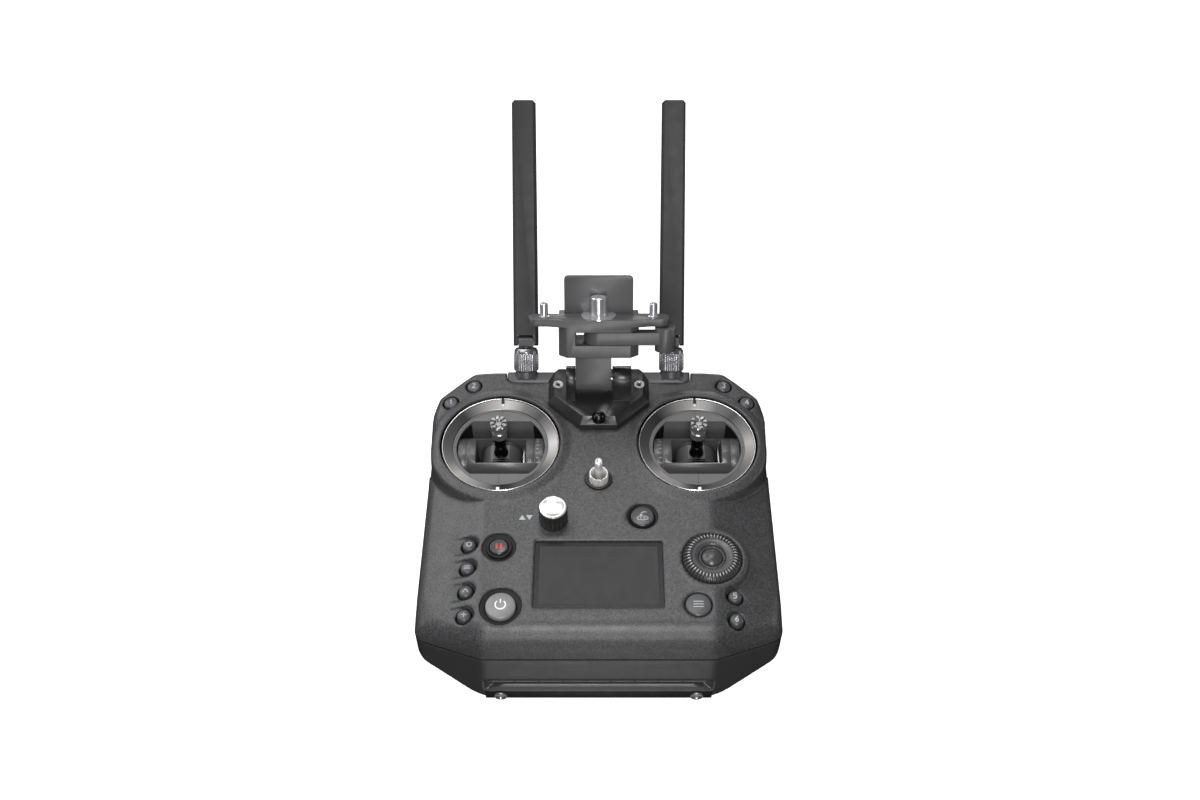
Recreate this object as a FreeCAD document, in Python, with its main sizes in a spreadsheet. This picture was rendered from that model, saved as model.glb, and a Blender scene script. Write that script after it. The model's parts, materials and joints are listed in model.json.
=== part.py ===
import FreeCAD, Part
import os
import re
import Sketcher

# A hand-held radio transmitter that flies a drone: a faceted two-part casing with two sticks,
# a display, buttons, two folding antennas and a tilting holder on its rear edge.
#
# Frame of the whole part: X to the user's right, Y away from the user, Z up, the feet on z = 0.
# Most sizes are given from the middle of the display: x and y there are 0 and z is 0 on the
# flat upper face. The cells screen_y and face_z carry that point into the frame of the part.

BODY_SIZES = {
    "screen_y": -97.87,
    "face_z": 65.0,
    "half_width": 95.0,
    "front_y": -38.0,
    "rear_y": 138.0,
    "crease_x": 60.0,
    "facet_angle": 21.0,
    "side_front_y": -26.0,
    "side_rear_y": 108.0,
    "shoulder_x": 92.0,
    "shoulder_y": 121.0,
    "back_half_width": 72.0,
    "corner_radius": 8.0,
    "lip_radius": 12.0,
    "seam_z": -22.0,
    "bottom_z": -62.0,
    "under_half_width": 66.0,
    "under_rise": 21.0,
    "wall": 2.4,
    "trim_half_width": 53.0,
    "trim_depth": 9.0,
    "trim_height": 12.0,
    "slot_top_z": -43.0,
    "slot_bottom_z": -55.0,
    "slot_half_width": 60.5,
    "slot_depth": 4.5,
    "slot_pitch": 12.6,
    "stud_x": 53.5,
    "stud_z": -59.4,
    "foot_x": 55.0,
    "foot_front_y": -22.0,
    "foot_rear_y": 118.0,
    "foot_radius": 5.0,
    "post_radius": 4.0,
}
STICK_SIZES = {
    "stick_x": 54.6,
    "stick_y": 84.5,
    "ring_radius": 32.6,
    "ring_inner": 26.5,
    "ring_drop": 2.5,
    "ring_hole": 33.0,
    "boss_radius": 35.2,
    "boss_foot": 38.4,
    "bezel_z": -3.0,
    "bezel_thick": 1.7,
    "window_radius": 24.5,
    "window_half_depth": 18.5,
    "pivot_z": -19.0,
    "drum_radius": 14.6,
    "drum_half_length": 23.8,
    "drum_opening_x": 14.0,
    "drum_opening_y": 8.2,
    "frame_inner": 28.6,
    "frame_outer": 31.0,
    "frame_height": 33.3,
    "cradle_radius": 11.4,
    "cradle_half_width": 7.6,
    "stick_foot_z": -8.6,
    "stick_radius": 3.25,
    "stick_thread": 1.5,
    "cap_z": 4.8,
    "cap_height": 12.6,
    "cap_radius": 4.7,
    "yoke_pin": 2.0,
    "cradle_pin": 1.5,
    "running_gap": 0.05,
}
CONTROL_SIZES = {
    "screen_width": 66.3,
    "screen_depth": 40.3,
    "screen_sink": 1.6,
    "window_thick": 0.8,
    "switch_y": 60.0,
    "collar_radius": 7.0,
    "dial_x": -23.9,
    "dial_y": 33.0,
    "dial_radius": 7.75,
    "dial_height": 12.2,
    "wheel_x": 58.7,
    "wheel_y": 9.2,
    "wheel_radius": 15.25,
    "wheel_top_z": 2.6,
    "wheel_floor_z": -4.3,
    "wheel_axle": 6.95,
    "home_x": 23.3,
    "home_y": 35.8,
    "home_well": 8.15,
    "home_cap": 6.4,
    "pause_x": -52.0,
    "pause_y": 16.2,
    "pause_well": 8.8,
    "pause_cap": 4.9,
    "power_x": -49.5,
    "power_y": -19.2,
    "power_well": 10.65,
    "power_cap": 7.75,
    "menu_x": 50.4,
    "menu_y": -18.5,
    "menu_cap": 6.8,
    "side_x": 68.0,
    "side_first_y": 19.5,
    "side_pitch": 14.1,
    "pair_x": 69.5,
    "pair_first_y": -11.7,
    "pair_pitch": 13.5,
    "scoop_z": -5.0,
    "scoop_radius": 5.0,
    "small_cap": 3.65,
    "outer_corner_x": 84.5,
    "outer_corner_y": 115.5,
    "inner_corner_x": 72.0,
    "inner_corner_y": 127.0,
    "corner_cap": 4.0,
    "cap_gap": 0.3,
}
REAR_SIZES = {
    "antenna_x": 42.0,
    "antenna_y": 136.0,
    "antenna_z": 0.5,
    "antenna_rise": 50.0,
    "nut_radius": 7.15,
    "nut_start": 1.6,
    "nut_length": 13.1,
    "hub_height": 19.5,
    "paddle_start": 16.0,
    "paddle_length": 138.4,
    "paddle_half_width": 7.1,
    "paddle_tip_half_width": 6.6,
    "paddle_half_thick": 3.5,
    "fork_half_width": 4.65,
    "fork_top": 22.4,
    "hinge_y": 116.0,
    "hinge_z": 18.7,
    "hinge_radius": 7.0,
    "hinge_pin": 2.0,
    "head_tilt": 28.0,
    "plate_height": 8.0,
    "head_start": 15.5,
    "head_height": 21.6,
    "slot_start": 22.5,
    "slot_height": 7.6,
    "head_front": 9.5,
    "head_back": 10.0,
    "wing_span": 38.6,
    "wing_thick": 4.3,
    "post_y": -1.0,
    "post_x": 29.9,
    "grip_x": 36.5,
    "rear_dial_x": 50.0,
    "rear_dial_y": 131.5,
    "rear_dial_z": -34.0,
    "rear_dial_radius": 8.0,
    "battery_half_width": 36.0,
    "battery_front_y": 30.0,
    "battery_top_z": -44.0,
    "bay_gap": 0.3,
}
SIZES = {**BODY_SIZES, **STICK_SIZES, **CONTROL_SIZES, **REAR_SIZES}
FAR = 400
X_AXIS = FreeCAD.Vector(1, 0, 0)
Y_AXIS = FreeCAD.Vector(0, 1, 0)
Z_AXIS = FreeCAD.Vector(0, 0, 1)
WORD = re.compile(r"[a-z][a-z_]*")

doc = FreeCAD.newDocument("transmitter")
sheet = doc.addObject("Spreadsheet::Sheet", "Dimensions")
for row, (name, size) in enumerate(SIZES.items(), start=1):
    sheet.set(f"A{row}", name)
    sheet.set(f"B{row}", str(size))
    sheet.setAlias(f"B{row}", name)
doc.recompute()
pieces = {}


# Sizes, places and names ---------------------------------------------------------------------

def bound(text):
    """An expression on the sheet, from text that names its cells."""
    return WORD.sub(lambda found: sheet_name(found.group()), str(text))


def sheet_name(word):
    return f"Dimensions.{word}" if word in SIZES else word


def number(text):
    result = sheet.evalExpression(str(text))
    return float(getattr(result, "Value", result))


def bind(thing, **sizes):
    for size, text in sizes.items():
        thing.setExpression(size, bound(text))
    return thing


def turn(thing, axis, angle):
    """Turn a piece about an axis through its own origin."""
    thing.Placement = FreeCAD.Placement(thing.Placement.Base, FreeCAD.Rotation(axis, 1))
    thing.setExpression("Placement.Rotation.Angle", bound(angle))
    return thing


def put(thing, x="0", y="0", z="0"):
    """Place a piece by its own origin, measured from the middle of the display."""
    thing.setExpression("Placement.Base.x", bound(x))
    thing.setExpression("Placement.Base.y", bound(f"screen_y + ({y})"))
    thing.setExpression("Placement.Base.z", bound(f"face_z + ({z})"))
    return thing


def keep(node, thing):
    thing.Label = node
    pieces[node] = thing
    return thing


# Shapes --------------------------------------------------------------------------------------

def block(name, x, y, z):
    """A box between the two values of each of x, y and z."""
    box = doc.addObject("Part::Box", name)
    bind(box, Length=f"({x[1]}) - ({x[0]})", Width=f"({y[1]}) - ({y[0]})", Height=f"({z[1]}) - ({z[0]})")
    return put(box, x[0], y[0], z[0])


def rod(name, x, y, z, radius, length, axis="z"):
    """A cylinder that starts at x, y, z and runs along an axis."""
    cylinder = doc.addObject("Part::Cylinder", name)
    bind(cylinder, Radius=radius, Height=length)
    if axis == "x":
        turn(cylinder, Y_AXIS, "90")
    if axis == "y":
        turn(cylinder, X_AXIS, "-90")
    return put(cylinder, x, y, z)


def fuse(name, *things):
    joined = doc.addObject("Part::MultiFuse", name)
    joined.Shapes = list(things)
    joined.Refine = True
    return joined


def common(name, *things):
    shared = doc.addObject("Part::MultiCommon", name)
    shared.Shapes = list(things)
    return shared


def cut(name, base, *tools):
    cutter = tools[0] if len(tools) == 1 else fuse(name + "_cutter", *tools)
    result = doc.addObject("Part::Cut", name)
    result.Base = base
    result.Tool = cutter
    return result


def group(name, *things):
    """Separate solids that share one node."""
    together = doc.addObject("Part::Compound", name)
    together.Links = list(things)
    return together


def outline(body, role, points):
    """A closed sketch on one of a body's own planes, each corner bound to the sheet."""
    sketch = body.newObject("Sketcher::SketchObject", body.Name + "_sketch")
    plane = [item for item in body.Origin.OriginFeatures if item.Role == role][0]
    sketch.AttachmentSupport = (plane, [""])
    sketch.MapMode = "FlatFace"
    spots = [FreeCAD.Vector(number(a), number(b), 0) for a, b in points]
    for index, spot in enumerate(spots):
        sketch.addGeometry(Part.LineSegment(spot, spots[(index + 1) % len(spots)]), False)
    for index in range(len(spots)):
        sketch.addConstraint(Sketcher.Constraint("Coincident", index, 2, (index + 1) % len(spots), 1))
    for index, (across, along) in enumerate(points):
        pin_corner(sketch, "DistanceX", index, spots[index].x, across)
        pin_corner(sketch, "DistanceY", index, spots[index].y, along)
    return sketch


def pin_corner(sketch, kind, index, value, text):
    place = sketch.addConstraint(Sketcher.Constraint(kind, -1, 1, index, 1, value))
    sketch.setExpression(f"Constraints[{place}]", bound(text))


def slab(name, role, points, thick, middle=False, rounds=()):
    """A padded outline. rounds lists (corner numbers, radius) for edges along the pad."""
    body = doc.addObject("PartDesign::Body", name)
    sketch = outline(body, role, points)
    pad = body.newObject("PartDesign::Pad", name + "_pad")
    pad.Profile = sketch
    if middle:
        pad.SideType = "Symmetric"
    bind(pad, Length=thick)
    doc.recompute()
    for step, (corners, radius) in enumerate(rounds):
        spots = [sketch.Placement.multVec(FreeCAD.Vector(number(points[c][0]), number(points[c][1]), 0))
                 for c in corners]
        across = sketch.Placement.Rotation.multVec(Z_AXIS)
        round_edges(body, f"{name}_round_{step}", radius, lambda edge: runs_through(edge, spots, across))
    return body


def runs_through(edge, spots, direction):
    """True for a straight edge in the given direction whose line passes through one of the spots."""
    if edge.Curve.TypeId != "Part::GeomLine" or edge.Curve.Direction.cross(direction).Length > 1e-3:
        return False
    return any((spot - edge.Vertexes[0].Point).cross(direction).Length < 1e-3 for spot in spots)


def round_edges(body, name, radius, wanted, kind="Fillet"):
    base = body.Tip
    names = [f"Edge{place}" for place, edge in enumerate(base.Shape.Edges, start=1) if wanted(edge)]
    rounded = body.newObject(f"PartDesign::{kind}", name)
    rounded.Base = (base, names)
    bind(rounded, **{"Radius" if kind == "Fillet" else "Size": radius})
    body.Tip = rounded
    doc.recompute()
    return rounded


def turned(name, points, rounds=()):
    """A lathe piece from (radius, height) corners. rounds lists (corner number, radius)."""
    body = doc.addObject("PartDesign::Body", name)
    sketch = outline(body, "XZ_Plane", points)
    revolution = body.newObject("PartDesign::Revolution", name + "_turn")
    revolution.Profile = sketch
    revolution.ReferenceAxis = (sketch, ["V_Axis"])
    revolution.Angle = 360
    doc.recompute()
    for corner, radius in rounds:
        round_edges(body, f"{name}_round_{corner}", radius,
                    lambda edge, corner=corner: circles_at(edge, *map(number, points[corner])))
    return body


def circles_at(edge, radius, height):
    circle = edge.Curve
    if circle.TypeId != "Part::GeomCircle":
        return False
    return abs(circle.Radius - radius) < 1e-3 and abs(circle.Center.z - height) < 1e-3


def mirrored(points):
    """The right half of an outline, from its front to its back, and the same on the left."""
    return points + [(f"-({x})", y) for x, y in reversed(points)]


# Casing --------------------------------------------------------------------------------------

def plan(inset):
    """The casing's outline seen from above, moved inwards by inset."""
    return mirrored([
        (f"crease_x - {inset} * 0.2", f"front_y + {inset}"),
        (f"half_width - {inset}", f"side_front_y + {inset} * 0.7"),
        (f"half_width - {inset}", f"side_rear_y - {inset} * 0.3"),
        (f"shoulder_x - {inset}", f"shoulder_y - {inset} * 0.6"),
        (f"back_half_width - {inset} * 0.4", f"rear_y - {inset}"),
    ])


def casing_prism(name, inset, low, high):
    corners = ([1, 2, 3, 4, 5, 6, 7, 8], f"corner_radius - {inset}")
    prism = slab(name, "XY_Plane", plan(inset), f"({high}) - ({low})", rounds=[corners])
    return put(prism, z=low)


def roof(name, drop):
    """The flat middle and the two facets that fall away from it, lowered by drop."""
    edge = "half_width + 4"
    fall = f"-(half_width + 4 - crease_x) * tan(facet_angle) - {drop}"
    points = mirrored([(edge, "-40"), (edge, fall), ("crease_x", f"-{drop}")])
    return put(slab(name, "XZ_Plane", points, FAR, middle=True))


def lip(name, inset):
    """The rounded front edge and the softer rear edge, as one long profile across the casing."""
    points = [(f"front_y + {inset}", "-40"), (f"rear_y - {inset}", "-40"),
              (f"rear_y - {inset}", f"-{inset}"), (f"front_y + {inset}", f"-{inset}")]
    rounds = [([3], f"lip_radius - {inset}"), ([2], f"3.2 - {inset}")]
    return put(slab(name, "YZ_Plane", points, FAR, middle=True, rounds=rounds))


def upper_block(name, inset, low):
    return common(name, casing_prism(name + "_prism", inset, low, "2"), roof(name + "_roof", inset),
                  lip(name + "_lip", inset))


def stick_boss(side):
    points = [("0", "-16"), ("boss_foot", "-16"), ("boss_radius", "0"), ("0", "0")]
    boss = turned(f"boss_{side}", points, rounds=[(2, "1")])
    return put(boss, side_x(side, "stick_x"), "stick_y")


def wheel_boss():
    points = [("0", "-8.5"), ("20.6", "-8.5"), ("18.4", "-0.1"), ("0", "-0.1")]
    return put(turned("wheel_boss", points, rounds=[(2, "1")]), "wheel_x", "wheel_y")


def side_x(side, size):
    return size if side == "right" else f"-({size})"


def facet_z(x):
    """Height of the sloping facet at a distance x from the middle."""
    return f"-(({x}) - crease_x) * tan(facet_angle)"


def small_buttons():
    """Name, x, y and side of each small button in a finger scoop."""
    column = [(f"side_button_{step + 1}", "-side_x", f"side_first_y - {step} * side_pitch", "left")
              for step in range(4)]
    pair = [(f"button_{letter}", "pair_x", f"pair_first_y - {step} * pair_pitch", "right")
            for step, letter in enumerate("ef")]
    return column + pair


def corner_buttons():
    """Name, side, distance from the middle and y of each button on the rear corners."""
    return [("button_a", "left", "outer_corner_x", "outer_corner_y"),
            ("button_b", "left", "inner_corner_x", "inner_corner_y"),
            ("button_c", "right", "inner_corner_x", "inner_corner_y"),
            ("button_d", "right", "outer_corner_x", "outer_corner_y")]


def scoop(name, x, y, side):
    """A finger scoop: a round end with a level floor that runs out through the facet."""
    end = rod(name + "_end", x, y, "scoop_z", "scoop_radius", "8")
    spans = (x, f"{x} + 16") if side == "right" else (f"{x} - 16", x)
    run = block(name + "_run", spans, (f"{y} - scoop_radius", f"{y} + scoop_radius"), ("scoop_z", "3"))
    return [end, run]


def tilted_rod(name, side, x, y, radius, start, length):
    """A cylinder square to the facet, from start below its surface."""
    cylinder = doc.addObject("Part::Cylinder", name)
    bind(cylinder, Radius=radius, Height=length)
    turn(cylinder, Y_AXIS, side_x(side, "facet_angle"))
    shift = side_x(side, f"{x} + ({start}) * sin(facet_angle)")
    return put(cylinder, shift, y, f"{facet_z(x)} + ({start}) * cos(facet_angle)")


def top_shell():
    skin = upper_block("upper", "0", "seam_z")
    hollow = upper_block("upper_hollow", "wall", "seam_z - 1")
    outside = fuse("upper_outside", skin, stick_boss("left"), stick_boss("right"))
    open_shell = cut("upper_shell", outside, hollow)
    pads = [rod(f"pad_{name}", x, y, "-7.4", "scoop_radius + 1", "2.4")
            for name, x, y, side in small_buttons()]
    inside_pads = common("upper_pads", fuse("pads", *pads), skin)
    floor = rod("wheel_floor", "wheel_x", "wheel_y", "-6.5", "18", "2.3")
    thick = fuse("upper_thick", open_shell, inside_pads, wheel_boss(), floor)
    holes = []
    for side in ("left", "right"):
        holes.append(rod(f"ring_hole_{side}", side_x(side, "stick_x"), "stick_y", "-24", "ring_hole", "30"))
    holes.append(rod("wheel_recess", "wheel_x", "wheel_y", "wheel_floor_z", "wheel_radius + 0.35", "9"))
    holes.append(block("screen_hole", ("-screen_width / 2", "screen_width / 2"),
                       ("-screen_depth / 2", "screen_depth / 2"), ("-6", "3")))
    rounds = [("switch", "0", "switch_y", "collar_radius"), ("dial", "dial_x", "dial_y", "3.3"),
              ("home", "home_x", "home_y", "home_well"), ("pause", "pause_x", "pause_y", "pause_well"),
              ("power", "power_x", "power_y", "power_well"),
              ("menu", "menu_x", "menu_y", "menu_cap + cap_gap")]
    for name, x, y, radius in rounds:
        holes.append(rod(f"{name}_hole", x, y, "-8", radius, "12"))
    for name, x, y, side in small_buttons():
        holes += scoop(f"scoop_{name}", x, y, side)
        holes.append(rod(f"{name}_hole", x, y, "-9", "small_cap + cap_gap", "8"))
    for name, side, x, y in corner_buttons():
        holes.append(tilted_rod(f"{name}_hole", side, x, y, "corner_cap + cap_gap", "-6", "12"))
    holes.append(block("trim_notch", ("-trim_half_width", "trim_half_width"),
                       ("rear_y - trim_depth", "rear_y + 5"), ("-trim_height", "5")))
    open_top = cut("upper_open", thick, *holes)
    axle = rod("wheel_axle", "wheel_x", "wheel_y", "-6.5", "wheel_axle", "7.4")
    with_axle = fuse("upper_axle", open_top, axle)
    button_hole = rod("wheel_button_hole", "wheel_x", "wheel_y", "-9", "5.7", "14")
    keep("top_shell", cut("upper_final", with_axle, button_hole))


def under_profile(name, lift):
    edge = "half_width + 4"
    points = mirrored([("under_half_width", f"bottom_z + {lift}"),
                       (edge, f"bottom_z + under_rise * (half_width + 4 - under_half_width) / 29 + {lift}"),
                       (edge, "-10")])
    return put(slab(name, "XZ_Plane", points, FAR, middle=True, rounds=[([0, 5], "9")]))


def vent_slot():
    """A tapered recess in the front wall: tall at its mouth, narrow and shorter inside."""
    wedge = doc.addObject("Part::Wedge", "vent_slot")
    bind(wedge, Xmin="-slot_half_width", Xmax="slot_half_width", Zmin="slot_bottom_z", Zmax="slot_top_z",
         Ymin="-0.6", Ymax="slot_depth", X2min="-slot_half_width + 6", X2max="slot_half_width - 6",
         Z2min="slot_top_z - 4", Z2max="slot_top_z - 1")
    return put(wedge, y="front_y")


def screw_spots():
    return [(side_x(side, "60"), y) for side in ("left", "right") for y in ("-5", "38", "124")]


def rear_dial_spots():
    return [(side, side_x(side, "rear_dial_x")) for side in ("left", "right")]


def bottom_shell():
    skin = common("lower", casing_prism("lower_prism", "0", "bottom_z", "seam_z"), under_profile("under", "0"))
    hollow = common("lower_hollow", casing_prism("lower_room", "wall", "bottom_z + wall", "seam_z + 1"),
                    under_profile("under_room", "wall"))
    shell = cut("lower_shell", skin, hollow)
    extras = [block("front_rib", ("-slot_half_width - 2", "slot_half_width + 2"),
                    ("front_y", "front_y + slot_depth + wall"), ("slot_bottom_z - 1", "slot_top_z + wall")),
              block("bay_box", ("-battery_half_width - wall", "battery_half_width + wall"),
                    ("battery_front_y - wall", "rear_y"), ("bottom_z", "battery_top_z + wall"))]
    for index, (x, y) in enumerate(screw_spots()):
        extras.append(rod(f"screw_post_{index}", x, y, "bottom_z", "post_radius", "36"))
    for side, x in rear_dial_spots():
        extras.append(block(f"{side}_dial_cheeks", (f"{x} - 6.6", f"{x} + 6.6"),
                            ("rear_dial_y - 4", "rear_y - 1"), ("rear_dial_z - 4", "rear_dial_z + 4")))
    inside = common("lower_inside", fuse("lower_extras", *extras), skin)
    whole = fuse("lower_whole", shell, inside)
    holes = [vent_slot(),
             block("bay_room", ("-battery_half_width", "battery_half_width"),
                   ("battery_front_y", "rear_y + 5"), ("bottom_z - 5", "battery_top_z")),
             block("latch_room", ("-9.3", "9.3"), ("battery_front_y - 12.3", "battery_front_y - 3.7"),
                   ("bottom_z - 1", "bottom_z + 1.6"))]
    for index, (x, y) in enumerate(screw_spots()):
        holes.append(rod(f"screw_head_hole_{index}", x, y, "bottom_z - 1", "2.6", "2.8"))
        holes.append(rod(f"screw_hole_{index}", x, y, "bottom_z", "1.2", "30"))
    for side, x in rear_dial_spots():
        holes.append(block(f"{side}_dial_slot", (f"{x} - 4.4", f"{x} + 4.4"),
                           ("rear_dial_y - 9", "rear_y + 2"), ("rear_dial_z - 8.6", "rear_dial_z + 8.6")))
        holes.append(rod(f"{side}_dial_bore", f"{x} - 6.2", "rear_dial_y", "rear_dial_z",
                         "1.5 + running_gap", "12.4", "x"))
    open_shell = cut("lower_open", whole, *holes)
    ribs = [block(f"vent_rib_{step}", (f"{step} * slot_pitch - 0.6", f"{step} * slot_pitch + 0.6"),
                  ("front_y + 2.6", "front_y + slot_depth + 0.4"), ("slot_top_z - 6.5", "slot_top_z - 0.4"))
            for step in range(-4, 5)]
    keep("bottom_shell", fuse("lower_final", open_shell, *ribs))


def strap_studs():
    points = [("0", "0"), ("2", "0"), ("2", "2.2"), ("3.4", "2.2"), ("3.4", "3.6"), ("2.6", "4.2"), ("0", "4.2")]
    studs = []
    for side in ("left", "right"):
        stud = turn(turned(f"stud_{side}", points), X_AXIS, "90")
        studs.append(put(stud, side_x(side, "stud_x"), "front_y", "stud_z"))
    keep("strap_studs", group("studs", *studs))


def rubber_feet():
    feet = []
    for side in ("left", "right"):
        for y in ("foot_front_y", "foot_rear_y"):
            points = [("0", "-face_z"), ("foot_radius - 0.6", "-face_z"), ("foot_radius", "-face_z + 0.8"),
                      ("foot_radius", "bottom_z"), ("0", "bottom_z")]
            feet.append(put(turned("foot", points), side_x(side, "foot_x"), y))
    keep("rubber_feet", group("feet", *feet))


def case_screws():
    screws = []
    for x, y in screw_spots():
        points = [("0", "1"), ("1", "1"), ("1", "0.2"), ("2.5", "0.2"), ("2.5", "1.75"), ("1.1", "1.75"),
                  ("1.1", "16"), ("0", "16")]
        screws.append(put(turned("screw", points), x, y, "bottom_z"))
    keep("case_screws", group("screws", *screws))


def rear_trim():
    """The satin strip along the rear edge with a threaded socket for each antenna."""
    bar = block("trim_bar", ("-trim_half_width + 0.1", "trim_half_width - 0.1"),
                ("rear_y - trim_depth + 0.1", "rear_y"), ("-trim_height + 0.1", "0"))
    soft = doc.addObject("Part::Fillet", "trim_soft")
    soft.Base = bar
    doc.recompute()
    long_edges = [place for place, edge in enumerate(bar.Shape.Edges, start=1)
                  if edge.Length > 50 and edge.CenterOfMass.z > number("face_z - 1")]
    soft.Edges = [(place, 2.0, 2.0) for place in long_edges]
    bases = []
    cores = []
    bores = []
    for side in ("left", "right"):
        bases.append(on_antenna(f"{side}_base", side, "-3", "6.1", "4.4"))
        cores.append(on_antenna(f"{side}_core", side, "0", "3", "14"))
        bores.append(on_antenna(f"{side}_socket_bore", side, "6", "2 + running_gap", "9"))
    keep("rear_trim", cut("trim_final", fuse("trim_joined", soft, *bases, *cores), *bores))


# Antennas: heights along an antenna are measured from its socket ---------------------------------

def antenna_spot(side, thing, along="0"):
    """Lean a piece back along the antenna and slide it along by the given height."""
    turn(thing, X_AXIS, "antenna_rise - 90")
    return put(thing, side_x(side, "antenna_x"), f"antenna_y + ({along}) * cos(antenna_rise)",
               f"antenna_z + ({along}) * sin(antenna_rise)")


def on_antenna(name, side, start, radius, length):
    cylinder = doc.addObject("Part::Cylinder", name)
    bind(cylinder, Radius=radius, Height=length)
    return antenna_spot(side, cylinder, start)


def antenna_nut(side):
    bore = "3 + running_gap"
    end = "nut_start + nut_length"
    points = [(bore, "nut_start"), ("nut_radius - 0.5", "nut_start"), ("nut_radius", "nut_start + 0.5"),
              ("nut_radius", f"{end} - 1.6"), ("nut_radius - 1.1", end), (bore, end)]
    keep(f"{side}_antenna_nut", antenna_spot(side, turned(f"{side}_nut", points)))


def antenna_elbow(side):
    """A spigot in the socket, an eye in the fork and the pin that the paddle folds on."""
    spigot = turned(f"{side}_spigot", [("0", "6.5"), ("2", "6.5"), ("2", "15"), ("4.1", "15"), ("4.1", "16"),
                                       ("0", "16")])
    eye = slab(f"{side}_eye", "YZ_Plane", [("-2.6", "15.6"), ("2.6", "15.6"), ("2.6", "hub_height + 2.6"),
                                           ("-2.6", "hub_height + 2.6")], "8.6", middle=True,
               rounds=[([2, 3], "2.5")])
    pin = doc.addObject("Part::Cylinder", f"{side}_elbow_pin")
    bind(pin, Radius="1.25", Height="13.4")
    turn(pin, Y_AXIS, "90")
    bind(pin, **{"Placement.Base.x": "-6.7", "Placement.Base.z": "hub_height"})
    joined = fuse(f"{side}_elbow", spigot, eye, pin)
    keep(f"{side}_antenna_elbow", antenna_spot(side, joined))


def antenna_paddle(side):
    """A flat tapered paddle whose foot is a fork over the elbow."""
    points = mirrored([("paddle_half_width", "paddle_start"),
                       ("paddle_half_width", "paddle_start + 30"),
                       ("paddle_tip_half_width", "paddle_start + paddle_length - 1.5"),
                       ("paddle_tip_half_width - 1.5", "paddle_start + paddle_length")])
    blade = slab(f"{side}_blade", "XZ_Plane", points, "paddle_half_thick * 2", middle=True)
    round_edges(blade, f"{side}_blade_chamfer", "1.4", is_front_blade_edge, kind="Chamfer")
    profile = [("-paddle_half_thick - 1", "paddle_start"), ("paddle_half_thick + 1", "paddle_start"),
               ("paddle_half_thick + 1", "paddle_start + paddle_length + 1"),
               ("-paddle_half_thick - 1", "paddle_start + paddle_length + 1")]
    foot = slab(f"{side}_foot_profile", "YZ_Plane", profile, "20", middle=True, rounds=[([0, 1], "4.2")])
    notch = doc.addObject("Part::Box", f"{side}_notch")
    bind(notch, Length="fork_half_width * 2", Width="20", Height="fork_top - paddle_start + 1")
    bind(notch, **{"Placement.Base.x": "-fork_half_width", "Placement.Base.y": "-10",
                   "Placement.Base.z": "paddle_start - 1"})
    bore = doc.addObject("Part::Cylinder", f"{side}_fork_bore")
    bind(bore, Radius="1.25 + running_gap", Height="13.6")
    turn(bore, Y_AXIS, "90")
    bind(bore, **{"Placement.Base.x": "-6.8", "Placement.Base.z": "hub_height"})
    rounded = common(f"{side}_rounded", blade, foot)
    keep(f"{side}_antenna", antenna_spot(side, cut(f"{side}_paddle", rounded, notch, bore)))


def is_front_blade_edge(edge):
    return edge.Length > 20 and edge.CenterOfMass.y < 0


# Sticks --------------------------------------------------------------------------------------

def at_stick(side, thing, z="0"):
    return put(thing, side_x(side, "stick_x"), "stick_y", z)


def stick_rod(name, side, along, radius, half_length):
    """A cylinder through the pivot of a stick, along x or y."""
    x = side_x(side, "stick_x")
    if along == "x":
        return rod(name, f"{x} - ({half_length})", "stick_y", "pivot_z", radius, f"2 * ({half_length})", "x")
    return rod(name, x, f"stick_y - ({half_length})", "pivot_z", radius, f"2 * ({half_length})", "y")


def stick_ring(side):
    low = "bezel_z"
    points = [("ring_inner", low), ("ring_radius", low), ("ring_radius", "0.1"), ("ring_radius - 0.5", "0.3"),
              ("ring_inner", "0.2 - ring_drop")]
    ring = at_stick(side, turned(f"{side}_ring", points))
    x = side_x(side, "stick_x")
    notch = block(f"{side}_ring_notch", (f"{x} - 0.9", f"{x} + 0.9"),
                  ("stick_y + ring_inner + 2.6", "stick_y + ring_radius + 1"), ("bezel_z + 0.6", "2"))
    return cut(f"{side}_ring_final", ring, notch)


def gimbal_bezel(side):
    """The floor plate: a disc with a round window whose near and far sides are cut straight."""
    disc = turned(f"{side}_disc", [("0", "bezel_z - bezel_thick"), ("ring_radius - 0.2", "bezel_z - bezel_thick"),
                                   ("ring_radius - 0.2", "bezel_z"), ("0", "bezel_z")])
    x = side_x(side, "stick_x")
    hole = rod(f"{side}_window_round", x, "stick_y", "bezel_z - 4", "window_radius", "6")
    span = block(f"{side}_window_span", (f"{x} - 30", f"{x} + 30"),
                 ("stick_y - window_half_depth", "stick_y + window_half_depth"), ("bezel_z - 4", "bezel_z + 2"))
    window = common(f"{side}_window", hole, span)
    return cut(f"{side}_bezel_final", at_stick(side, disc), window)


def gimbal_frame(side):
    """A cup under the bezel with a bearing on each side for the yoke."""
    top = "bezel_z - bezel_thick"
    low = f"{top} - frame_height"
    points = [("0", low), ("frame_outer", low), ("frame_outer", top), ("frame_inner", top),
              ("frame_inner", f"{low} + 2"), ("0", f"{low} + 2")]
    cup = at_stick(side, turned(f"{side}_cup", points))
    inward = "-1" if side == "right" else "1"
    x = side_x(side, "stick_x")
    reach = [f"{x} + {inward} * 30", f"{x} + {inward} * 38"]
    step = [f"{x} + {inward} * 33.4", f"{x} + {inward} * 38"]
    if side == "right":
        reach.reverse()
        step.reverse()
    ear = block(f"{side}_ear", reach, ("stick_y - 7", "stick_y + 7"), ("-7.2", "-4.8"))
    lug = block(f"{side}_lug", step, ("stick_y - 7", "stick_y + 7"), ("-5", "-wall"))
    bore = stick_rod(f"{side}_frame_bore", side, "x", "yoke_pin + running_gap", "frame_outer + 1")
    keep(f"{side}_gimbal_frame", cut(f"{side}_frame_final", fuse(f"{side}_frame_joined", cup, ear, lug), bore))


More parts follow.
